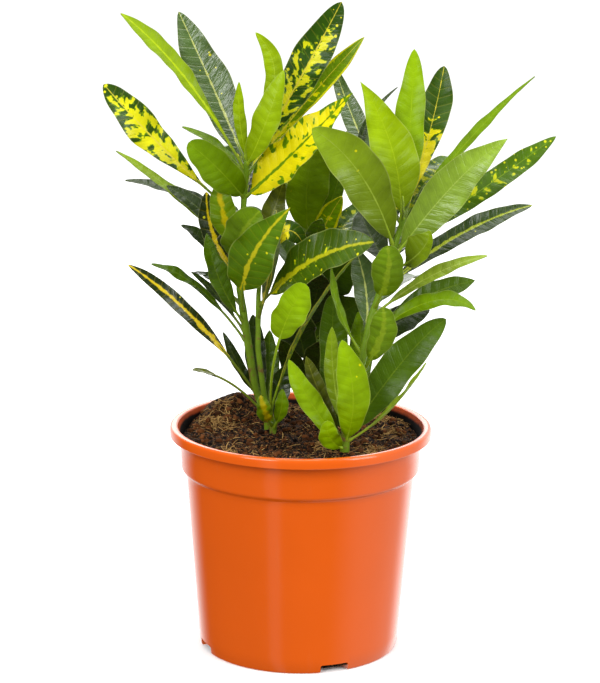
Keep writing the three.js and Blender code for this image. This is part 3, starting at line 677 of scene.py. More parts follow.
# %% Measures of every leaf
STEMS = {
    "left_stem": dict(
        foot=3.0, top=1.7,
        route=[(-21, 2, 150), (-30, 1, 172), (-35, 0, 204), (-40, -1, 237), (-39, -2, 276), (-36, -3, 322)],
        leaves=[
            (314, (-116, 4, 413), (1, 2, 9), 0.12, 15, 0.45, "lance", "lime_ribbed"),
            (319, (-81, 32, 412), (1, 5, -2), 0.06, 25, 0.90, "plain", "slate"),
            (283, (-126, -10, 370), (-3, -3, 0), 0.24, 22, 0.75, "rippled", "splashed"),
            (321, (-31, 4, 402), (15, -2, 8), 0.06, 13, 0.50, "plain", "lime"),
            (318, (-13, -11, 380), (0, -5, -4), 0.06, 18, 0.70, "plain", "lime"),
            (316, (23, 12, 421), (1, 8, -2), 0.08, 25, 0.85, "rippled", "gilded"),
            (311, (38, 22, 398), (-1, 9, 0), 0.10, 13, 0.75, "lance", "edged"),
            (297, (30, -24, 368), (0, -5, -1), 0.06, 31, 0.55, "ovate", "golden"),
            (322, (-41, -7, 372), (-2, 0, 0), 0.06, 8, 0.80, "plain", "lime"),
            (297, (-72, -26, 336), (2, -8, 2), 0.06, 22, 0.95, "blunt", "green"),
            (313, (-78, 16, 340), (2, 4, 2), 0.15, 9, 0.20, "plain", "green"),
            (258, (-121, 22, 323), (3, 8, 1), 0.12, 9, 0.35, "plain", "grey_green"),
            (278, (-117, 46, 300), (1, 11, 4), 0.15, 10, 0.30, "plain", "dark"),
            (238, (-79, 21, 275), (-2, 6, 6), 0.15, 11, 0.20, "plain", "dark"),
            (214, (-61, -13, 276), (-4, -6, 0), 0.15, 15, 0.60, "plain", "deep"),
            (243, (-62, 4, 300), (-6, 0, 0), 0.15, 15, 0.70, "plain", "flamed"),
            (264, (-53, -10, 309), (-4, -4, 0), 0.12, 17, 0.90, "plain", "yellow_heart"),
            (252, (-27, -30, 294), (-6, -9, 2), 0.10, 25, 0.70, "blunt", "soft_heart"),
            (222, (-8, -46, 299), (-10, -10, 2), 0.22, 29, 0.85, "ovate", "ribbed"),
            (164, (-111, -16, 256), (1, -4, 9), 0.25, 10, 0.75, "wavy", "flamed"),
            (200, (-98, 12, 251), (0, 5, 9), 0.25, 9, 0.30, "wavy", "deep"),
            (226, (-71, 23, 243), (-2, 6, 5), 0.20, 8, 0.10, "plain", "dark"),
            (150, (-70, -14, 187), (1, 0, 7), 0.70, 7, 0.20, "plain", "olive"),
            (310, (-64, 60, 372), (0, 6, 6), 0.12, 22, 0.00, "plain", "gilded"),
            (308, (-8, 64, 345), (0, 6, 9), 0.12, 24, 0.00, "wavy", "splashed"),
            (298, (-70, 52, 322), (0, 8, 8), 0.15, 22, 0.00, "plain", "deep"),
            (286, (-31, 82, 300), (0, 6, 12), 0.14, 26, 0.00, "hooked", "ribbed_dark"),
            (266, (-62, 56, 276), (0, 8, 8), 0.14, 22, 0.00, "plain", "spotted"),
            (247, (-44, 72, 250), (0, 8, 10), 0.15, 24, 0.00, "hooked", "deep"),
            (160, (-32, 18, 217), (-1, 4, 0), 0.10, 14, 0.85, "plain", "dark"),
            (150, (-21, 20, 206), (0, 4, 0), 0.08, 13, 0.85, "plain", "deep"),
            (162, (-51, 4, 208), (-1, 1, -2), 0.20, 8, 0.60, "plain", "dark"),
            (207, (-72, 12, 246), (0, 2, 3), 0.20, 6, 0.40, "plain", "dark"),
            (262, (-88, 14, 302), (-1, 3, 4), 0.15, 11, 0.50, "plain", "dark"),
        ]),
    "left_shoot": dict(
        foot=2.1, top=1.4,
        route=[(-18, -7, 150), (-24, -8, 170), (-28, -9, 200), (-28, -9, 235), (-26, -9, 264)],
        leaves=[
            (151, (2, -46, 251), (-8, -12, 4), 0.60, 21, 0.95, "blunt", "bright"),
            (156, (39, -30, 272), (-8, 0, 3), 0.16, 8, 0.00, "plain", "edged"),
            (228, (44, -52, 279), (-2, -6, 10), 0.12, 30, 0.55, "plain", "streaked"),
            (248, (3, -20, 266), (0, -6, 17), 0.25, 14, 0.60, "hooked", "gold_base"),
            (258, (-12, 2, 308), (-1, 2, 0), 0.12, 15, 0.60, "plain", "olive"),
            (220, (-17, -26, 294), (3, -8, 1), 0.15, 10, 0.00, "plain", "flamed"),
            (148, (-26, -20, 172), (-1, -6, 0), 0.20, 10, 0.80, "plain", "yellow_heart"),
            (146, (-12, -18, 176), (2, -5, 0), 0.20, 9, 0.80, "plain", "green"),
            (150, (-9, 4, 186), (-1, 5, 0), 0.15, 14, 0.90, "blunt", "dark"),
            (258, (-16, 40, 285), (0, 4, 6), 0.15, 16, 0.00, "plain", "deep"),
        ]),
    "right_stem": dict(
        foot=3.0, top=1.7,
        route=[(28, -49, 150), (37, -46, 195), (43, -43, 228), (51, -40, 252), (59, -37, 278),
               (63, -35, 292)],
        leaves=[
            (272, (5, -56, 350), (5, -7, 9), 0.06, 29, 0.90, "plain", "grey_green"),
            (285, (35, -16, 374), (8, 2, 1), 0.12, 28, 0.90, "ovate", "lime"),
            (289, (69, 0, 393), (1, 5, 0), 0.12, 19, 0.80, "plain", "bright"),
            (291, (89, 14, 381), (3, 8, 1), 0.10, 20, 0.60, "rippled", "gold_base"),
            (283, (145, -4, 377), (-2, 5, 4), 0.15, 9, 0.35, "ovate", "green"),
            (262, (125, -50, 344), (2, -6, 11), 0.10, 25, 0.85, "ovate", "pale"),
            (272, (159, -10, 340), (2, 2, 0), 0.12, 16, 0.65, "wavy", "spotted"),
            (245, (147, 6, 293), (0, 4, 7), 0.12, 14, 0.55, "plain", "ribbed_dark"),
            (229, (115, -46, 270), (-1, -2, 6), 0.15, 10, 0.45, "plain", "fresh"),
            (221, (110, -16, 248), (-2, 4, 3), 0.20, 15, 0.60, "lance", "deep"),
            (215, (109, -41, 234), (2, -2, 10), 0.18, 13, 0.45, "hooked", "green"),
            (206, (82, -10, 227), (0, 6, 4), 0.15, 19, 0.50, "plain", "dark"),
            (152, (91, -35, 227), (-2, 0, -2), 0.08, 23, 0.85, "drooping", "deep"),
            (149, (78, -54, 203), (3, -6, -2), 0.25, 9, 0.10, "plain", "fresh"),
            (190, (50, -63, 240), (6, -5, 5), 0.22, 17, 0.95, "blunt", "soft_heart"),
            (234, (52, -63, 279), (4, -6, 3), 0.20, 20, 0.90, "blunt", "soft_heart"),
            (256, (78, -59, 288), (7, -6, 1), 0.25, 20, 0.60, "folded", "grey_green"),
            (287, (19, 37, 378), (-3, 11, 1), 0.12, 14, 0.75, "plain", "slate"),
            (279, (60, 24, 366), (-24, 12, 2), 0.15, 5, 0.30, "plain", "dark"),
            (205, (18, -36, 260), (-5, 0, 0), 0.20, 8, 0.20, "plain", "green"),
            (213, (33, -18, 269), (4, 6, 0), 0.18, 17, 0.60, "plain", "slate"),
            (290, (62, -40, 306), (0, -2, 0), 0.10, 4, 0.50, "plain", "lime"),
            (153, (19, -44, 223), (-3, 3, 0), 0.14, 11, 0.90, "plain", "grey_green"),
            (149, (25, -62, 219), (6, -7, -1), 0.06, 21, 0.95, "plain", "bright"),
            (147, (-8, -45, 202), (-2, -2, -2), 0.06, 14, 0.85, "wavy", "bright"),
            (145, (17, -62, 167), (-4, -3, -1), 0.10, 13, 0.95, "blunt", "bright"),
            (288, (78, 40, 350), (0, 4, 6), 0.12, 22, 0.00, "plain", "gilded"),
            (281, (100, 36, 318), (0, 6, 10), 0.12, 24, 0.00, "wavy", "spotted"),
            (276, (50, 38, 330), (-2, 4, 6), 0.12, 24, 0.00, "plain", "splashed"),
            (260, (84, 26, 272), (0, 6, 8), 0.14, 24, 0.00, "plain", "ribbed_dark"),
            (232, (78, 28, 240), (0, 6, 8), 0.14, 22, 0.00, "plain", "deep"),
            (210, (62, 28, 212), (0, 6, 8), 0.14, 22, 0.00, "hooked", "spotted"),
            (148, (3, -36, 202), (-2, 2, 0), 0.15, 11, 0.90, "plain", "olive"),
            (147, (20, -24, 240), (-3, 9, 0), 0.12, 19, 0.90, "blunt", "deep"),
            (165, (36, -12, 226), (4, 5, 0), 0.12, 15, 0.90, "plain", "green"),
            (262, (37, 8, 288), (-2, 4, 0), 0.10, 21, 0.70, "plain", "dark"),
        ]),
    "rear_stem": dict(
        foot=3.0, top=1.7,
        route=[(6, 42, 150), (4, 41, 180), (2, 40, 220), (5, 38, 268)],
        leaves=[
            (262, (8, 12, 337), (-4, -6, 0), 0.12, 28, 0.95, "plain", "bright"),
            (265, (14, 38, 343), (2, 6, 0), 0.12, 15, 0.60, "plain", "dark"),
            (258, (28, 20, 338), (5, 2, 0), 0.12, 16, 0.60, "plain", "green"),
            (206, (30, 4, 262), (2, 0, 4), 0.15, 28, 0.85, "plain", "deep"),
            (196, (13, -2, 248), (0, -2, 4), 0.15, 26, 0.90, "plain", "dark"),
            (188, (39, 8, 228), (2, 0, 6), 0.15, 26, 0.80, "plain", "deep"),
            (174, (-7, 10, 222), (0, -2, 4), 0.15, 24, 0.85, "plain", "dark"),
            (240, (12, 0, 284), (0, -2, 4), 0.18, 14, 0.85, "plain", "deep"),
            (246, (25, 4, 298), (0, -2, 4), 0.18, 14, 0.85, "plain", "edged"),
            (160, (20, -2, 206), (0, 0, 4), 0.15, 22, 0.85, "plain", "dark"),
            (260, (-20, 92, 330), (0, 4, 8), 0.12, 24, 0.00, "plain", "gilded"),
            (256, (34, 94, 318), (0, 4, 8), 0.12, 26, 0.00, "wavy", "splashed"),
            (250, (4, 104, 300), (0, 4, 10), 0.12, 26, 0.00, "hooked", "ribbed"),
            (236, (52, 84, 280), (0, 4, 10), 0.12, 24, 0.00, "plain", "spotted"),
            (228, (-40, 86, 276), (0, 4, 8), 0.12, 24, 0.00, "plain", "deep"),
            (214, (14, 100, 248), (0, 4, 10), 0.14, 26, 0.00, "plain", "ribbed_dark"),
            (200, (46, 84, 228), (0, 4, 8), 0.14, 24, 0.00, "hooked", "green"),
            (189, (-8, 88, 206), (0, 4, 8), 0.14, 24, 0.00, "plain", "deep"),
            (178, (28, 90, 196), (0, 4, 8), 0.14, 22, 0.00, "plain", "spotted"),
            (150, (-14, 2, 204), (0, 2, 0), 0.08, 16, 0.90, "plain", "dark"),
        ]),
}
print("leaves:", {name: len(stem["leaves"]) for name, stem in STEMS.items()})

# %% [markdown]
# ## One blade and one stalk
# All blades are copies of one sheet, and all stalks copies of one rod. The sheet is a grid with a
# Solidify modifier. Its own x is the share across the blade, its y the share along it and its z
# the face, which is +1 on the upper side and -1 on the lower, so a copy can be laid on any path.

# %% Model the blade sheet and the stalk rod
SHEET_ACROSS = 16
SHEET_ALONG = 60
ROD_SIDES = 8
ROD_STEPS = 41

deselect()
bpy.ops.mesh.primitive_grid_add(x_subdivisions=SHEET_ACROSS, y_subdivisions=SHEET_ALONG, size=2)
sheet = bpy.context.object
sheet.name = "blade_sheet"
thickness = sheet.modifiers.new("thickness", "SOLIDIFY")
thickness.thickness = 2
thickness.offset = 0
apply_modifiers(sheet)

deselect()
bpy.ops.mesh.primitive_cylinder_add(vertices=ROD_SIDES, radius=1, depth=2, end_fill_type="NGON")
rod = bpy.context.object
rod.name = "stalk_rod"
cut_across(rod, np.linspace(-1, 1, ROD_STEPS + 1)[1:-1], (0, 0, 1))
print("blade sheet and stalk rod:", len(sheet.data.polygons), len(rod.data.polygons), "faces")

# %% [markdown]
# ## Laying a copy on its path
# A leaf's path is a smooth arc from the stem to the tip. At each point of it the blade has a
# direction along, a normal and a side. The copy's vertices are moved to that frame: across by the
# outline of the form, and up by the fold of its two halves, the waves in its edges and the small
# swellings between its side veins. Modifiers can bend along one curve but know no leaf forms, so
# this step is plain vector work, all in millimetres.

# %% Paths and frames
PATH_POINTS = 40
FRAME_STEP = 0.01


def stem_point(route, height):
    """The middle of a stem at a height. Below its first point the stem stands upright."""
    for low, high in zip(route, route[1:]):
        if height <= high[2] and height > low[2]:
            share = (height - low[2]) / (high[2] - low[2])
            return np.array(low) + (np.array(high) - np.array(low)) * share
    return np.array([route[0][0], route[0][1], height], float)


def unit(vectors):
    return vectors / np.linalg.norm(vectors, axis=-1, keepdims=True)


def square_to(direction, axis):
    """The part of a direction that is square to an axis, as a unit vector."""
    direction = np.broadcast_to(direction, axis.shape)
    return unit(direction - (direction * axis).sum(-1, keepdims=True) * axis)


class LeafPath:
    """The path of one leaf from its line of measures, with its form and its look."""
    def __init__(self, route, leaf):
        height, tip, bow, self.stalk, self.width, facing, form, look = leaf
        self.form = FORMS[form]
        self.look = LOOKS[look]
        self.root = stem_point(route, height)
        tip = np.array(tip, float)
        self.end = tip + [0, 0, self.form["hook"]]
        self.middle = (self.root + self.end) / 2 + 2 * np.array(bow, float)
        chord = unit(tip - self.root)
        face_up = square_to(np.array([0, 0, 1.0]), chord)
        face_front = square_to(np.array([0, -1.0, 0]), chord)
        self.face = face_up * (1 - abs(facing)) + face_front * facing
        steps = np.diff(self.points(np.linspace(0, 1, PATH_POINTS)), axis=0)
        self.length = np.linalg.norm(steps, axis=1).sum()
        self.blade_length = self.length * (1 - self.stalk)

    def points(self, share):
        share = share[:, None]
        arc = (1 - share) ** 2 * self.root + 2 * share * (1 - share) * self.middle + share ** 2 * self.end
        arc[:, 2] -= self.form["hook"] * share[:, 0] ** 4
        return arc

    def frames(self, share):
        """The points at shares of the path, and the normal and the side of the leaf there."""
        ahead = self.points(np.minimum(1, share + FRAME_STEP))
        behind = self.points(np.maximum(0, share - FRAME_STEP))
        along = unit(ahead - behind)
        normal = square_to(self.face, along)
        return self.points(share), normal, np.cross(along, normal)


# %% Outline of a blade
MIDRIB_WIDTH = 1.9
TIP_WIDTH = 0.9
TIP_ROUNDING, TIP_SHARE = 4.5, 0.25
NECK_FALLOFF = 3
# height and pace of the swings that make each edge uneven, and their shift by leaf and by edge
LONG_SWING, LONG_PACE = 0.065, 8.3
SHORT_SWING, SHORT_PACE = 0.035, 21
SWING_STEP, SWING_GAP = 1.9, 2.6


def edge_phase(across, number, step, gap):
    """A phase that differs from leaf to leaf, and between the two edges of a leaf."""
    return step * number + np.where(across < 0, 0, gap)


def half_width(path, number, across, share):
    """Half the width of a blade at shares of its length."""
    form = path.form
    midrib = MIDRIB_WIDTH / 2 + (TIP_WIDTH - MIDRIB_WIDTH) / 2 * share
    turn = math.pi * share ** (math.log(0.5) / math.log(form["widest"]))
    neck = 1 - form["neck"] * (1 - share) ** NECK_FALLOFF
    outline = path.width / 2 * neck * np.maximum(0, np.sin(turn)) ** form["round"]
    smooth = np.maximum(midrib * np.minimum(1, TIP_ROUNDING * (1 - share) + TIP_SHARE), outline)
    phase = edge_phase(across, number, SWING_STEP, SWING_GAP)
    long_swing = LONG_SWING * np.sin(LONG_PACE * share + phase)
    short_swing = SHORT_SWING * np.sin(SHORT_PACE * share + 2 * phase)
    return smooth * (1 + long_swing + short_swing)


# %% Relief of a blade
FOLD_START = 8
FOLD_STRAIGHT, FOLD_CURVED = 0.55, 0.45
WAVES_PER_BLADE = 2.2
WAVE_STEP, WAVE_GAP = 1.7, 2
FRILL_LENGTH = 17
FRILL_HEIGHT = 0.03
FRILL_STEP, FRILL_GAP = 2.3, 1.9
VEIN_SPACING = 6.5
VEIN_SLOPE = 0.55
QUILT_HEIGHT = 0.19
GROOVE_DEPTH, GROOVE_WIDTH = 0.3, 0.8
SKIN_OFFSET, SKIN_LEAST = 0.26, 0.05
MIDRIB_SWELLING, MIDRIB_REACH = 0.9, 1.2


def blade_relief(path, number, across, along, face, across_mm, along_mm, half):
    """How far each point is above the path: fold, waves and frill, swellings, groove and skin."""
    lean = np.abs(across)
    middle = np.sin(math.pi * along)
    slope = math.tan(math.radians(path.form["fold"])) * np.minimum(1, along * FOLD_START)
    fold = half * slope * (FOLD_STRAIGHT * lean + FOLD_CURVED * lean ** 2)
    wave_phase = 2 * math.pi * WAVES_PER_BLADE * along + edge_phase(across, number, WAVE_STEP, WAVE_GAP)
    wave = path.form["wave"] * path.width * middle * np.sin(wave_phase) * lean ** 1.4
    frill_phase = 2 * math.pi * along_mm / FRILL_LENGTH + edge_phase(across, number, FRILL_STEP, FRILL_GAP)
    frill = FRILL_HEIGHT * path.width * np.sin(frill_phase) * lean ** 4 * middle
    vein = np.cos(2 * math.pi * (along_mm - VEIN_SLOPE * np.abs(across_mm)) / VEIN_SPACING)
    quilt = -QUILT_HEIGHT * vein * (1 - lean ** 4) * np.minimum(1, lean * 4) * middle ** 0.5
    groove = -GROOVE_DEPTH * np.exp(-(across_mm / GROOVE_WIDTH) ** 2) * (1 - along)
    thinning = np.sqrt(np.maximum(SKIN_LEAST, 1 - lean ** 10))
    skin = SKIN_OFFSET * thinning * (1 + MIDRIB_SWELLING * np.exp(-(across_mm / MIDRIB_REACH) ** 2))
    return fold + wave + frill + quilt + groove + face * skin


# %% [markdown]
# The materials have to know where a point lies on its leaf and what the leaf's look is. Attributes
# stored on the vertices carry this. They stay with the mesh when the leaves are joined, so all the
# leaves of an age can share one material.

# %% Facts that the finish reads
STUDIO_LIGHT = 1.5
SPLASH_YELLOW = (236, 232, 0)
RIB_YELLOW = (236, 222, 60)
SEED_STEP = 37.0


def linear(red, green, blue):
    """A colour as it looks in the studio, 0 to 255, as the share of light that the surface sends
    back. The bright light makes a surface look lighter than it is, which is divided out."""
    def channel(value):
        share = value / 255
        seen = share / 12.92 if share <= 0.04045 else ((share + 0.055) / 1.055) ** 2.4
        return seen / STUDIO_LIGHT
    return (channel(red), channel(green), channel(blue), 1.0)


def note_facts(mesh, across_mm, along_mm, across, along, face, seed, look):
    """Stores on each vertex what the leaf materials need to know about its place and its leaf."""
    count = len(mesh.vertices)
    # painted shade: the blade is darker towards its base, by the share that its look gives
    shade = 1 - look.get("painted_base_shade", 0) * (1 - along)
    vectors = {
        "leaf_place": (across_mm, along_mm, seed * SEED_STEP),
        "leaf_share": (across, along, face),
        "leaf_marks": (look.get("splash", 0), look.get("spots", 0), look["rib"]),
        "leaf_edges": (look.get("edge", 0), look.get("at_base", 0), shade),
    }
    for name, columns in vectors.items():
        layer = mesh.attributes.new(name, "FLOAT_VECTOR", "POINT")
        values = np.stack([np.broadcast_to(column, (count,)) for column in columns], 1)
        layer.data.foreach_set("vector", values.astype(np.float32).ravel())
    colours = {
        "leaf_green": look["green"],
        "leaf_yellow": look.get("tone", SPLASH_YELLOW),
        "leaf_rib": look.get("rib_tone", RIB_YELLOW),
    }
    for name, seen in colours.items():
        layer = mesh.attributes.new(name, "FLOAT_COLOR", "POINT")
        layer.data.foreach_set("color", np.tile(np.array(linear(*seen), np.float32), count))


# %% Lay a blade and a stalk
ROD_END = 0.985
STALK_RADIUS = 0.88
ROOT_SWELLING, ROOT_SWELLING_LENGTH = 0.55, 2.6
RIB_RADIUS, RIB_THINNING = 0.82, 0.6
RIB_SINKING, RIB_SINKING_START = 0.62, 9
STALK_FLATNESS = 0.95


def own_places(mesh):
    """The own x, y and z of all vertices, with the ends of the template at -1 and 1."""
    places = np.empty(len(mesh.vertices) * 3)
    mesh.vertices.foreach_get("co", places)
    return places.reshape(-1, 3).T


def lay_on(mesh, centre, side, sideways, normal, upwards):
    place = centre + side * sideways[:, None] + normal * upwards[:, None]
    mesh.vertices.foreach_set("co", (place * MM).ravel())


def lay_blade(path, number, seed):
    blade = copy_of(sheet, "blade")
    across, along, face = own_places(blade.data)
    along = (along + 1) / 2
    centre, normal, side = path.frames(path.stalk + (1 - path.stalk) * along)
    half = half_width(path, number, across, along)
    across_mm = across * half
    along_mm = along * path.blade_length
    up = blade_relief(path, number, across, along, face, across_mm, along_mm, half)
    lay_on(blade.data, centre, side, across_mm, normal, up)
    note_facts(blade.data, across_mm, along_mm, across, along, face, seed, path.look)
    return blade


def lay_stalk(path, seed, stem_radius):
    """A stalk swells at the stem, and runs on under the blade as its thinning rib."""
    stalk = copy_of(rod, "stalk")
    right, up, along = own_places(stalk.data)
    along = (along + 1) / 2 * ROD_END
    centre, normal, side = path.frames(along)
    blade = np.clip((along - path.stalk) / (1 - path.stalk), 0, 1)
    from_root = along * path.length
    swelling = ROOT_SWELLING * np.exp(-((from_root - stem_radius) / ROOT_SWELLING_LENGTH) ** 2)
    radius = np.where(blade > 0, RIB_RADIUS - RIB_THINNING * blade ** 0.8, STALK_RADIUS + swelling)
    sunk = np.where(blade > 0, np.minimum(1, blade * RIB_SINKING_START) * RIB_SINKING * radius, 0)
    lay_on(stalk.data, centre, side, right * radius, normal, up * radius * STALK_FLATNESS - sunk)
    note_facts(stalk.data, right * radius, from_root, right, along, -1, seed, path.look)
    return stalk


# %% [markdown]
# ## Finishes
# Plastic, bark, stalks, blades and soil all have small uneven areas of tone. That is one effect, so
# it is one node group, mottling, used with other values in each material. It gives a tone around 1,
# which lightens or darkens a colour, and a finer grain for roughness and bumps.

# %% Helpers for materials
def node(tree, kind, **settings):
    made = tree.nodes.new(kind)
    for name, value in settings.items():
        if name in made.inputs:
            made.inputs[name].default_value = value
        else:
            setattr(made, name, value)
    return made


def fact(tree, name, output="Vector"):
    """What is stored on the vertices under a name."""
    return node(tree, "ShaderNodeAttribute", attribute_name=name).outputs[output]


def object_place(tree):
    return tree.nodes.new("ShaderNodeTexCoord").outputs["Object"]


def vector_of(tree, *values):
    made = tree.nodes.new("ShaderNodeCombineXYZ")
    for socket, value in zip(made.inputs, values):
        link_value(tree, value, socket)
    return made.outputs[0]


def noise(tree, vector, scale, **settings):
    """A noise texture, which varies around 0.5."""
    made = node(tree, "ShaderNodeTexNoise", **settings)
    tree.links.new(vector, made.inputs["Vector"])
    link_value(tree, scale, made.inputs["Scale"])
    return made.outputs["Fac"]


def blend_colours(tree, share, first, second):
    """A colour mix. The share is a number or an output, and so are the colours."""
    made = tree.nodes.new("ShaderNodeMix")
    made.data_type = "RGBA"
    for index, value in ((0, share), (6, first), (7, second)):
        link_value(tree, value, made.inputs[index])
    return made.outputs[2]


def toned(tree, colour, tone):
    """A colour made lighter or darker by a tone around 1."""
    made = node(tree, "ShaderNodeVectorMath", operation="SCALE")
    tree.links.new(colour, made.inputs[0])
    tree.links.new(tone, made.inputs["Scale"])
    return made.outputs[0]


def add_bump(tree, shader, height, strength, distance):
    """Bumps of a strength on a surface. The distance is how high they are, in metres."""
    bump = node(tree, "ShaderNodeBump", Strength=strength, Distance=distance)
    tree.links.new(height, bump.inputs["Height"])
    tree.links.new(bump.outputs["Normal"], shader.inputs["Normal"])


# %% The mottling group
GRAIN_FINENESS = 9.0

mottling = bpy.data.node_groups.new("mottling", "ShaderNodeTree")
for name, way, kind in (
        ("Vector", "INPUT", "Vector"), ("Scale", "INPUT", "Float"), ("Contrast", "INPUT", "Float"),
        ("Tone", "OUTPUT", "Float"), ("Grain", "OUTPUT", "Float")):
    mottling.interface.new_socket(name, in_out=way, socket_type="NodeSocket" + kind)
given = mottling.nodes.new("NodeGroupInput").outputs
results = mottling.nodes.new("NodeGroupOutput").inputs
broad = noise(mottling, given["Vector"], given["Scale"], Detail=3.0, Roughness=0.6)
fine_scale = calc(mottling, "MULTIPLY", given["Scale"], GRAIN_FINENESS)
fine = noise(mottling, given["Vector"], fine_scale, Detail=2.0, Roughness=0.7)
centred = calc(mottling, "SUBTRACT", broad, 0.5)
mottling.links.new(calc(mottling, "MULTIPLY_ADD", centred, given["Contrast"], 1.0), results["Tone"])
mottling.links.new(fine, results["Grain"])


def add_mottling(tree, vector, scale, contrast):
    """The tone and the grain of the mottling group, read at a vector."""
    made = node(tree, "ShaderNodeGroup", node_tree=mottling)
    for name, value in (("Vector", vector), ("Scale", scale), ("Contrast", contrast)):
        link_value(tree, value, made.inputs[name])
    return made.outputs["Tone"], made.outputs["Grain"]


print("mottling group:", len(mottling.nodes), "nodes")

# %% [markdown]
# ### Blade finish
# The colour is built up in layers. First comes the leaf's own green, paler on the side veins, with
# painted shade and light on it: darker at the margin and towards the base, and lighter to the tip.
# Yellow splashes follow the side veins, so their noise is stretched along them, and they crowd
# around the midrib. Each has a halo of lime.

# %% What a leaf material reads
class LeafFacts:
    """The facts stored on a leaf, as outputs in the node tree of a material."""
    def __init__(self, tree):
        self.place = fact(tree, "leaf_place")
        self.across_mm, self.along_mm, self.seed = parts(tree, self.place)
        share_across, self.share_along, self.face = parts(tree, fact(tree, "leaf_share"))
        self.splash, self.spots, self.rib_width = parts(tree, fact(tree, "leaf_marks"))
        # the third part of leaf_edges is the painted shade towards the base of the blade
        self.edge, self.at_base, self.shade = parts(tree, fact(tree, "leaf_edges"))
        self.green = fact(tree, "leaf_green", "Color")
        self.yellow = fact(tree, "leaf_yellow", "Color")
        self.rib_colour = fact(tree, "leaf_rib", "Color")
        self.from_rib = calc(tree, "ABSOLUTE", self.across_mm)
        self.share_out = calc(tree, "ABSOLUTE", share_across)
        # side veins run forwards and outwards from the midrib
        self.vein_line = calc(tree, "MULTIPLY_ADD", self.from_rib, -VEIN_SLOPE, self.along_mm)
        self.has_splash = calc(tree, "GREATER_THAN", self.splash, 0.01)

    def vein_place(self, tree, across_scale, along_scale):
        """A place for noise that is stretched along the side veins."""
        across = calc(tree, "MULTIPLY", self.across_mm, across_scale)
        along = calc(tree, "MULTIPLY", self.vein_line, along_scale)
        return vector_of(tree, across, along, self.seed)


# %% Side veins and splashes
VEIN_SHARPNESS = 0.86
STREAKS_PER_MM = (0.17, 0.19)
SPLASH_NOISE = dict(Detail=2.0, Roughness=0.45, Distortion=0.15)
SPLASH_THRESHOLD, SPLASH_GAIN = 0.74, 0.42
CROWD_AT_RIB, CROWD_LOSS = 0.05, 0.16
BASE_REACH = 0.55
TIP_LOSS = 0.22


def side_veins(tree, leaf):
    """1 on the line of a side vein and 0 beside it."""
    turns = calc(tree, "MULTIPLY", leaf.vein_line, 2 * math.pi / VEIN_SPACING)
    return ramp(tree, calc(tree, "COSINE", turns), VEIN_SHARPNESS, 1.0)


def splash_level(tree, leaf):
    """Above 0 inside a yellow splash, and a little below 0 close around it."""
    level = noise(tree, leaf.vein_place(tree, *STREAKS_PER_MM), 1.0, **SPLASH_NOISE)
    out_square = calc(tree, "POWER", leaf.share_out, 2.0)
    crowd = calc(tree, "MULTIPLY_ADD", out_square, -CROWD_LOSS, CROWD_AT_RIB)
    tip_drop = calc(tree, "MULTIPLY", calc(tree, "POWER", leaf.share_along, 4.0), -TIP_LOSS)
    base_pull = product(tree, calc(tree, "SUBTRACT", BASE_REACH, leaf.share_along), leaf.at_base, 0.5)
    threshold = calc(tree, "MULTIPLY_ADD", leaf.splash, -SPLASH_GAIN, SPLASH_THRESHOLD)
    return calc(tree, "SUBTRACT", total(tree, level, crowd, tip_drop, base_pull), threshold)


# %% [markdown]
# Round spots come from a Voronoi pattern whose cells are kept or dropped by chance, with more of
# them near a splash. The yellow band along the midrib narrows to the tip, and the yellow margin
# comes and goes, so both read one noise.

# %% Spots, rib band and margin
SPOT_CELLS = 0.3
SPOT_SMALLEST, SPOT_RANGE, SPOT_SOFTNESS = 0.13, 0.22, 0.05
SPOTS_NEAR_SPLASH, NEAR_SPLASH = 0.4, (-0.12, -0.02)
BAND_NOISE = 0.22
BAND_UNEVEN, BAND_LEAST = 2.6, -0.4
BAND_TAPER = 0.72
BAND_SOFTNESS, BAND_SOFTNESS_LEAST = 0.25, 0.05
EDGE_GAIN, EDGE_START, EDGE_UNEVEN, EDGE_SOFTNESS = 0.3, 1.08, 0.3, 0.05


def spot_mask(tree, leaf, over):
    cells = node(tree, "ShaderNodeTexVoronoi", Scale=SPOT_CELLS, Randomness=1.0)
    tree.links.new(leaf.place, cells.inputs["Vector"])
    keep_chance, size_chance, _ = parts(tree, cells.outputs["Color"])
    near_splash = product(tree, ramp(tree, over, *NEAR_SPLASH), leaf.has_splash)
    kept_share = calc(tree, "MULTIPLY_ADD", near_splash, SPOTS_NEAR_SPLASH, leaf.spots)
    size = calc(tree, "MULTIPLY_ADD", size_chance, SPOT_RANGE, SPOT_SMALLEST)
    inside = calc(tree, "SUBTRACT", size, cells.outputs["Distance"])
    kept = calc(tree, "LESS_THAN", keep_chance, kept_share)
    return product(tree, ramp(tree, inside, 0.0, SPOT_SOFTNESS), kept)


def band_and_margin(tree, leaf):
    """Two masks: the band along the midrib, and the margin."""
    level = noise(tree, leaf.place, BAND_NOISE, Detail=3.0)
    uneven = calc(tree, "MULTIPLY_ADD", level, BAND_UNEVEN, BAND_LEAST)
    taper = calc(tree, "MULTIPLY_ADD", leaf.share_along, -BAND_TAPER, 1.0)
    reach = product(tree, leaf.rib_width, taper, uneven)
    softness = calc(tree, "MULTIPLY_ADD", leaf.rib_width, BAND_SOFTNESS, BAND_SOFTNESS_LEAST)
    inside = calc(tree, "DIVIDE", calc(tree, "SUBTRACT", reach, leaf.from_rib), softness)
    band = ramp(tree, inside, -0.7, 1.0)
    edge_reach = calc(tree, "MULTIPLY_ADD", level, -EDGE_UNEVEN, EDGE_START)
    edge_level = calc(tree, "MULTIPLY_ADD", leaf.edge, EDGE_GAIN, leaf.share_out)
    margin = ramp(tree, calc(tree, "SUBTRACT", edge_level, edge_reach), 0.0, EDGE_SOFTNESS)
    return band, product(tree, margin, calc(tree, "GREATER_THAN", leaf.edge, 0.01))


# %% [markdown]
# The masks paint the colour layer by layer, and the lower face gets a paler and greyer version. The
# surface is waxy, and more so with age. The specular level has to be one value in a whole material,
# so each of the four ages has a material of its own, made by one function. An old leaf is embossed
# too: it has swellings that are long along the sunken side veins.

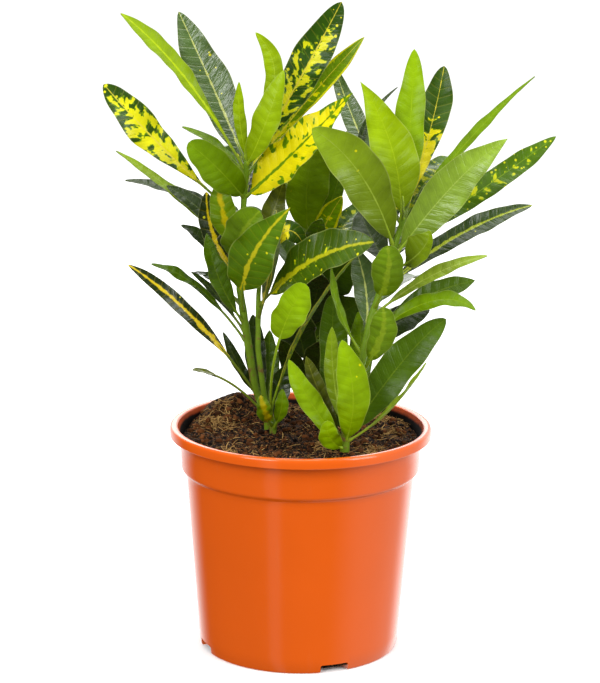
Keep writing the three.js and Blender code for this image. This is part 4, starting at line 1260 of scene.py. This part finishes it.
# %% Blade materials
HALO_LIME = linear(138, 178, 0)
# the thin pale margin is partly the leaf's own and partly a painted highlight along its edge
PALE_MARGIN_AND_HIGHLIGHT = linear(196, 208, 110)
UNDERSIDE = linear(138, 160, 84)
UNDERSIDE_SHARE = 0.45
# painted light and shade across a blade: lighter to the tip, darker at the base and at the margin
PAINTED_TIP_LIGHT, SHADED_BASE_TONE = 0.26, 0.88
PAINTED_MARGIN_SHADE = 0.2
VEIN_SHARE = 0.3
SHINE_LEAST, SHINE_GRAIN, UNDERSIDE_DULLING = 0.2, 0.25, 0.25
SWELLINGS_PER_MM = (0.16, 0.42)
VEIN_DEPTH, SWELLING_HEIGHT, GRAIN_HEIGHT = 0.5, 2.2, 0.3
BLADE_BUMP = 0.0006


def blade_colour(tree, leaf, tone, veins):
    """The painted colour of a blade, the same on both of its faces."""
    yellow = toned(tree, leaf.yellow, tone)
    colour = toned(tree, leaf.green, tone)
    vein_colour = blend_colours(tree, VEIN_SHARE, colour, leaf.rib_colour)
    over = splash_level(tree, leaf)
    band, margin = band_and_margin(tree, leaf)
    # the last layer is the thin pale margin: partly the leaf's own, partly a painted highlight
    for mask, paint in (
            (product(tree, veins, VEIN_SHARE), vein_colour),
            (product(tree, ramp(tree, over, -0.07, 0.0), leaf.has_splash, 0.7), HALO_LIME),
            (product(tree, ramp(tree, over, -0.01, 0.016), leaf.has_splash), yellow),
            (spot_mask(tree, leaf, over), yellow),
            (margin, yellow),
            (band, leaf.rib_colour),
            (product(tree, ramp(tree, leaf.share_out, 0.94, 0.99), 0.35), PALE_MARGIN_AND_HIGHLIGHT)):
        colour = blend_colours(tree, mask, colour, paint)
    return colour


def new_blade_finish(name, specular, relief):
    material, tree, shader = new_material(name)
    leaf = LeafFacts(tree)
    veins = side_veins(tree, leaf)
    tone, grain = add_mottling(tree, leaf.place, 0.08, 0.75)
    # painted light and shade: the blade is lighter to its tip and darker at its base and margin
    painted_light_to_tip = calc(tree, "MULTIPLY_ADD", leaf.share_along, PAINTED_TIP_LIGHT, SHADED_BASE_TONE)
    out_cube = calc(tree, "POWER", leaf.share_out, 3.0)
    painted_shade_at_margin = calc(tree, "MULTIPLY_ADD", out_cube, -PAINTED_MARGIN_SHADE, 1.0)
    colour = blade_colour(tree, leaf, product(tree, tone, painted_light_to_tip, painted_shade_at_margin, leaf.shade), veins)
    lower = calc(tree, "LESS_THAN", leaf.face, 0.0)
    under_colour = blend_colours(tree, UNDERSIDE_SHARE, colour, UNDERSIDE)
    colour = blend_colours(tree, lower, colour, under_colour)
    roughness = calc(tree, "MULTIPLY_ADD", grain, SHINE_GRAIN, SHINE_LEAST)
    roughness = calc(tree, "MULTIPLY_ADD", lower, UNDERSIDE_DULLING, roughness)
    set_shader(tree, shader, colour, roughness, specular)

    swellings = noise(tree, leaf.vein_place(tree, *SWELLINGS_PER_MM), 1.0, Detail=2.0, Roughness=0.55)
    height = calc(tree, "MULTIPLY_ADD", swellings, SWELLING_HEIGHT, product(tree, veins, -VEIN_DEPTH))
    height = calc(tree, "MULTIPLY_ADD", grain, GRAIN_HEIGHT, height)
    add_bump(tree, shader, height, relief, BLADE_BUMP)
    return material


blade_finishes = {
    "young": new_blade_finish("young_blade", 0.13, 0.2),
    "grown": new_blade_finish("grown_blade", 0.25, 0.27),
    "waxed": new_blade_finish("waxed_blade", 0.5, 0.39),
    "old": new_blade_finish("old_blade", 0.85, 0.56),
}
print("blade finishes:", ", ".join(blade_finishes))

# %% [markdown]
# ### Stalks and bark
# A stalk is a paler green than its blade. The stems are a light green above and turn darker and
# corky below, with more and more brown scars.

# %% Stalk and bark materials
STALK_PALE = linear(168, 192, 50)
YOUNG_BARK = linear(128, 166, 22)
OLD_BARK = linear(116, 148, 20)
SCAR_BROWN = linear(130, 104, 50)
YOUNG_ABOVE, OLD_BELOW = 0.30, 0.15
STEM_SPECULAR = 0.25

stalk_finish, tree, shader = new_material("leaf_stalk")
tone, grain = add_mottling(tree, fact(tree, "leaf_place"), 0.2, 0.5)
stalk_colour = blend_colours(tree, 0.4, fact(tree, "leaf_green", "Color"), STALK_PALE)
set_shader(tree, shader, toned(tree, stalk_colour, tone), 0.42, STEM_SPECULAR)
add_bump(tree, shader, grain, 0.2, 0.0002)

bark_finish, tree, shader = new_material("stem_bark")
place = object_place(tree)
tone, grain = add_mottling(tree, place, 120, 0.9)
scars = noise(tree, place, 95.0, Detail=4.0, Roughness=0.7)
old = ramp(tree, parts(tree, place)[2], YOUNG_ABOVE, OLD_BELOW)
scar_mask = ramp(tree, calc(tree, "MULTIPLY_ADD", old, 0.22, scars), 0.70, 0.78)
bark_colour = blend_colours(tree, old, YOUNG_BARK, OLD_BARK)
bark_colour = blend_colours(tree, scar_mask, bark_colour, SCAR_BROWN)
roughness = calc(tree, "MULTIPLY_ADD", grain, 0.25, 0.38)
set_shader(tree, shader, toned(tree, bark_colour, tone), roughness, STEM_SPECULAR)
add_bump(tree, shader, calc(tree, "ADD", grain, scar_mask), 0.3, 0.0004)
print("stalk and bark finishes made")

# %% [markdown]
# ### Pot finish
# Terracotta-orange polypropylene is glossy, with fine upright rub marks from handling on it, and it
# is a little duller low down, where hands and other pots rub it. The inner wall above the soil is
# painted nearly black, as soil stain with painted shade on it, so those faces get a finish of their
# own.

# %% Orange plastic
POT_ORANGE = linear(255, 106, 18)
RUBBED_ORANGE = linear(236, 140, 96)
RUB_STRETCH = 0.15
RUB_SHARE, RUB_DULLING = 0.06, 0.06
POT_SHINE, LOW_DULLING, POT_GRAIN = 0.14, 0.02, 0.04
GLOSSY_ABOVE, DULL_BELOW = 0.11, 0.03

pot_finish, tree, shader = new_material("orange_plastic")
place = object_place(tree)
tone, grain = add_mottling(tree, place, 14, 0.14)
stretch = node(tree, "ShaderNodeMapping", Scale=(1, 1, RUB_STRETCH))
tree.links.new(place, stretch.inputs["Vector"])
rubs = noise(tree, stretch.outputs["Vector"], 60.0, Detail=5.0, Roughness=0.7)
rub_mask = ramp(tree, rubs, 0.60, 0.72)
orange = node(tree, "ShaderNodeRGB")
orange.outputs[0].default_value = POT_ORANGE
pot_colour = toned(tree, orange.outputs[0], tone)
pot_colour = blend_colours(tree, product(tree, rub_mask, RUB_SHARE), pot_colour, RUBBED_ORANGE)
low = ramp(tree, parts(tree, place)[2], GLOSSY_ABOVE, DULL_BELOW)
roughness = calc(tree, "MULTIPLY_ADD", low, LOW_DULLING, POT_SHINE)
roughness = calc(tree, "MULTIPLY_ADD", rub_mask, RUB_DULLING, roughness)
roughness = calc(tree, "MULTIPLY_ADD", grain, POT_GRAIN, roughness)
set_shader(tree, shader, pot_colour, roughness, 0.5)
add_bump(tree, shader, grain, 0.03, 0.0002)
pot.data.materials.append(pot_finish)
print("orange plastic:", len(tree.nodes), "nodes")

# %% Stained and shaded plastic inside
# the black is soil stain with painted shade on it, on the inner wall under the rim
STAIN_AND_SHADE_BLACK = linear(16, 9, 6)
CLEAN_ORANGE = linear(206, 88, 40)
DARK_EDGE_UNEVEN = 0.004
DARK_TOP, CLEAN_FROM = 0.1475, 0.1497
INNER_RADIUS = 80.2
INNER_BOTTOM = 8

stain_and_shade_finish, tree, shader = new_material("stained_and_shaded_plastic")
place = object_place(tree)
tone, grain = add_mottling(tree, place, 45, 0.8)
dark_edge_level = calc(tree, "MULTIPLY_ADD", tone, DARK_EDGE_UNEVEN, parts(tree, place)[2])
clean = ramp(tree, dark_edge_level, DARK_TOP, CLEAN_FROM)
stain_and_shade_colour = toned(tree, blend_colours(tree, clean, STAIN_AND_SHADE_BLACK, CLEAN_ORANGE), tone)
set_shader(tree, shader, stain_and_shade_colour, calc(tree, "MULTIPLY_ADD", grain, 0.3, 0.5), 0.1)
add_bump(tree, shader, grain, 0.2, 0.0003)
pot.data.materials.append(stain_and_shade_finish)
# the inner faces above the soil get the finish of stain and painted shade
for wall_face in pot.data.polygons:
    centre = wall_face.center
    inwards = centre.x * wall_face.normal.x + centre.y * wall_face.normal.y < 0
    near = math.hypot(centre.x, centre.y) < INNER_RADIUS * MM
    wall_face.material_index = 1 if inwards and near and centre.z > INNER_BOTTOM * MM else 0
print("stained faces:", sum(wall_face.material_index for wall_face in pot.data.polygons))

# %% [markdown]
# ### Soil finish
# Peat is nearly black where damp and brown where it dries on top. Crumbs share its colours, and the
# fibres are tan, each a little different through the tone stored on it.

# %% Soil materials
PEAT_BLACK = linear(10, 4, 1)
PEAT_BROWN = linear(138, 84, 42)
CRUMB_BROWN = linear(118, 70, 34)
FLECK_TAN = linear(206, 160, 100)
FIBRE_BROWN = linear(120, 78, 36)
FIBRE_STRAW = linear(240, 194, 118)
FLECK_SHARE = 0.5
SOIL_SPECULAR = 0.1

soil_finish, tree, shader = new_material("peat")
place = object_place(tree)
tone, grain = add_mottling(tree, place, 60, 1.8)
flecks = noise(tree, place, 900.0, Detail=2.0)
fleck_mask = product(tree, ramp(tree, flecks, 0.60, 0.68), FLECK_SHARE)
peat_colour = blend_colours(tree, ramp(tree, grain, 0.48, 0.72), PEAT_BLACK, PEAT_BROWN)
peat_colour = blend_colours(tree, fleck_mask, peat_colour, FLECK_TAN)
set_shader(tree, shader, toned(tree, peat_colour, tone), 0.9, SOIL_SPECULAR)
add_bump(tree, shader, calc(tree, "ADD", grain, flecks), 0.9, 0.0012)
soil.data.materials.append(soil_finish)


def loose_finish(name, dark, light, roughness):
    """A finish for loose bits, each between dark and light by its own tone."""
    material, tree, shader = new_material(name)
    tone, grain = add_mottling(tree, object_place(tree), 260, 0.8)
    colour = toned(tree, blend_colours(tree, fact(tree, "tone", "Fac"), dark, light), tone)
    set_shader(tree, shader, colour, roughness, SOIL_SPECULAR)
    add_bump(tree, shader, grain, 0.6, 0.0005)
    return material


soil_crumbs.data.materials.append(loose_finish("peat_crumb", PEAT_BLACK, CRUMB_BROWN, 0.92))
soil_fibres.data.materials.append(loose_finish("coir_fibre", FIBRE_BROWN, FIBRE_STRAW, 0.8))
print("soil finishes made")

# %% [markdown]
# ## The four leafy stems
# A stem is a tube through the points of its route, with finer rings in between and a small knuckle
# wherever a leaf joins it. Its leaves are laid one by one and joined to it, and the whole replaces
# the plain solid of the CAD model.

# %% Stem tube with knuckles
ROOT_END = 98
STEM_SIDES = 20
STEM_STEP = 2.5
STEM_SLIMNESS = 0.97
KNUCKLE_HEIGHT, KNUCKLE_LENGTH = 0.22, 2.2
STEM_END = [(0.8, 0.8), (1.3, 0.4)]


def stem_tube(name, stem):
    route = stem["route"]
    foot_height, top_height = route[0][2], route[-1][2]
    joints = [leaf[0] for leaf in stem["leaves"]]
    rings = []
    for height in np.arange(ROOT_END, top_height + 0.01, STEM_STEP):
        share = max(0.0, (height - foot_height) / (top_height - foot_height))
        radius = stem["foot"] + (stem["top"] - stem["foot"]) * share
        knuckle = max(math.exp(-((height - joint) / KNUCKLE_LENGTH) ** 2) for joint in joints)
        x, y, _ = stem_point(route, height)
        rings.append((x, y, height, radius * STEM_SLIMNESS + KNUCKLE_HEIGHT * knuckle))
    x, y, z, radius = rings[-1]
    rings += [(x, y, z + rise, radius * share) for rise, share in STEM_END]
    tube = ring_tube(name, STEM_SIDES, rings)
    choose(tube)
    bpy.ops.object.shade_smooth()
    tube.data.materials.append(bark_finish)
    return tube


def leafy_stem(name, stem, order):
    tube = stem_tube(name + "_foliage", stem)
    pieces = [tube]
    for number, leaf in enumerate(stem["leaves"]):
        path = LeafPath(stem["route"], leaf)
        seed = order * 40 + number + 1
        blade = lay_blade(path, number, seed)
        stalk = lay_stalk(path, seed, stem["foot"])
        blade.data.materials.append(blade_finishes[path.look["age"]])
        stalk.data.materials.append(stalk_finish)
        pieces += [blade, stalk]
    join(pieces)
    point_outwards(tube)
    bpy.ops.object.shade_smooth_by_angle(angle=math.radians(60))
    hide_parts(name)
    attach(tube, "root")
    return tube


# %% Grow the stems
for order, (name, stem) in enumerate(STEMS.items()):
    grown = leafy_stem(name, stem, order)
    print(grown.name, len(grown.data.polygons), "faces")
bpy.data.objects.remove(sheet, do_unlink=True)
bpy.data.objects.remove(rod, do_unlink=True)

# %% [markdown]
# ## Hand over
# The pot and the soil replace their plain solids too, and every piece rides on the one body.

# %% Replace and ride
for piece, slot in ((pot, "pot"), (soil, "soil"), (soil_crumbs, "soil"), (soil_fibres, "soil")):
    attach(piece, "root")
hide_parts("pot")
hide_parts("soil")
bpy.context.view_layer.update()
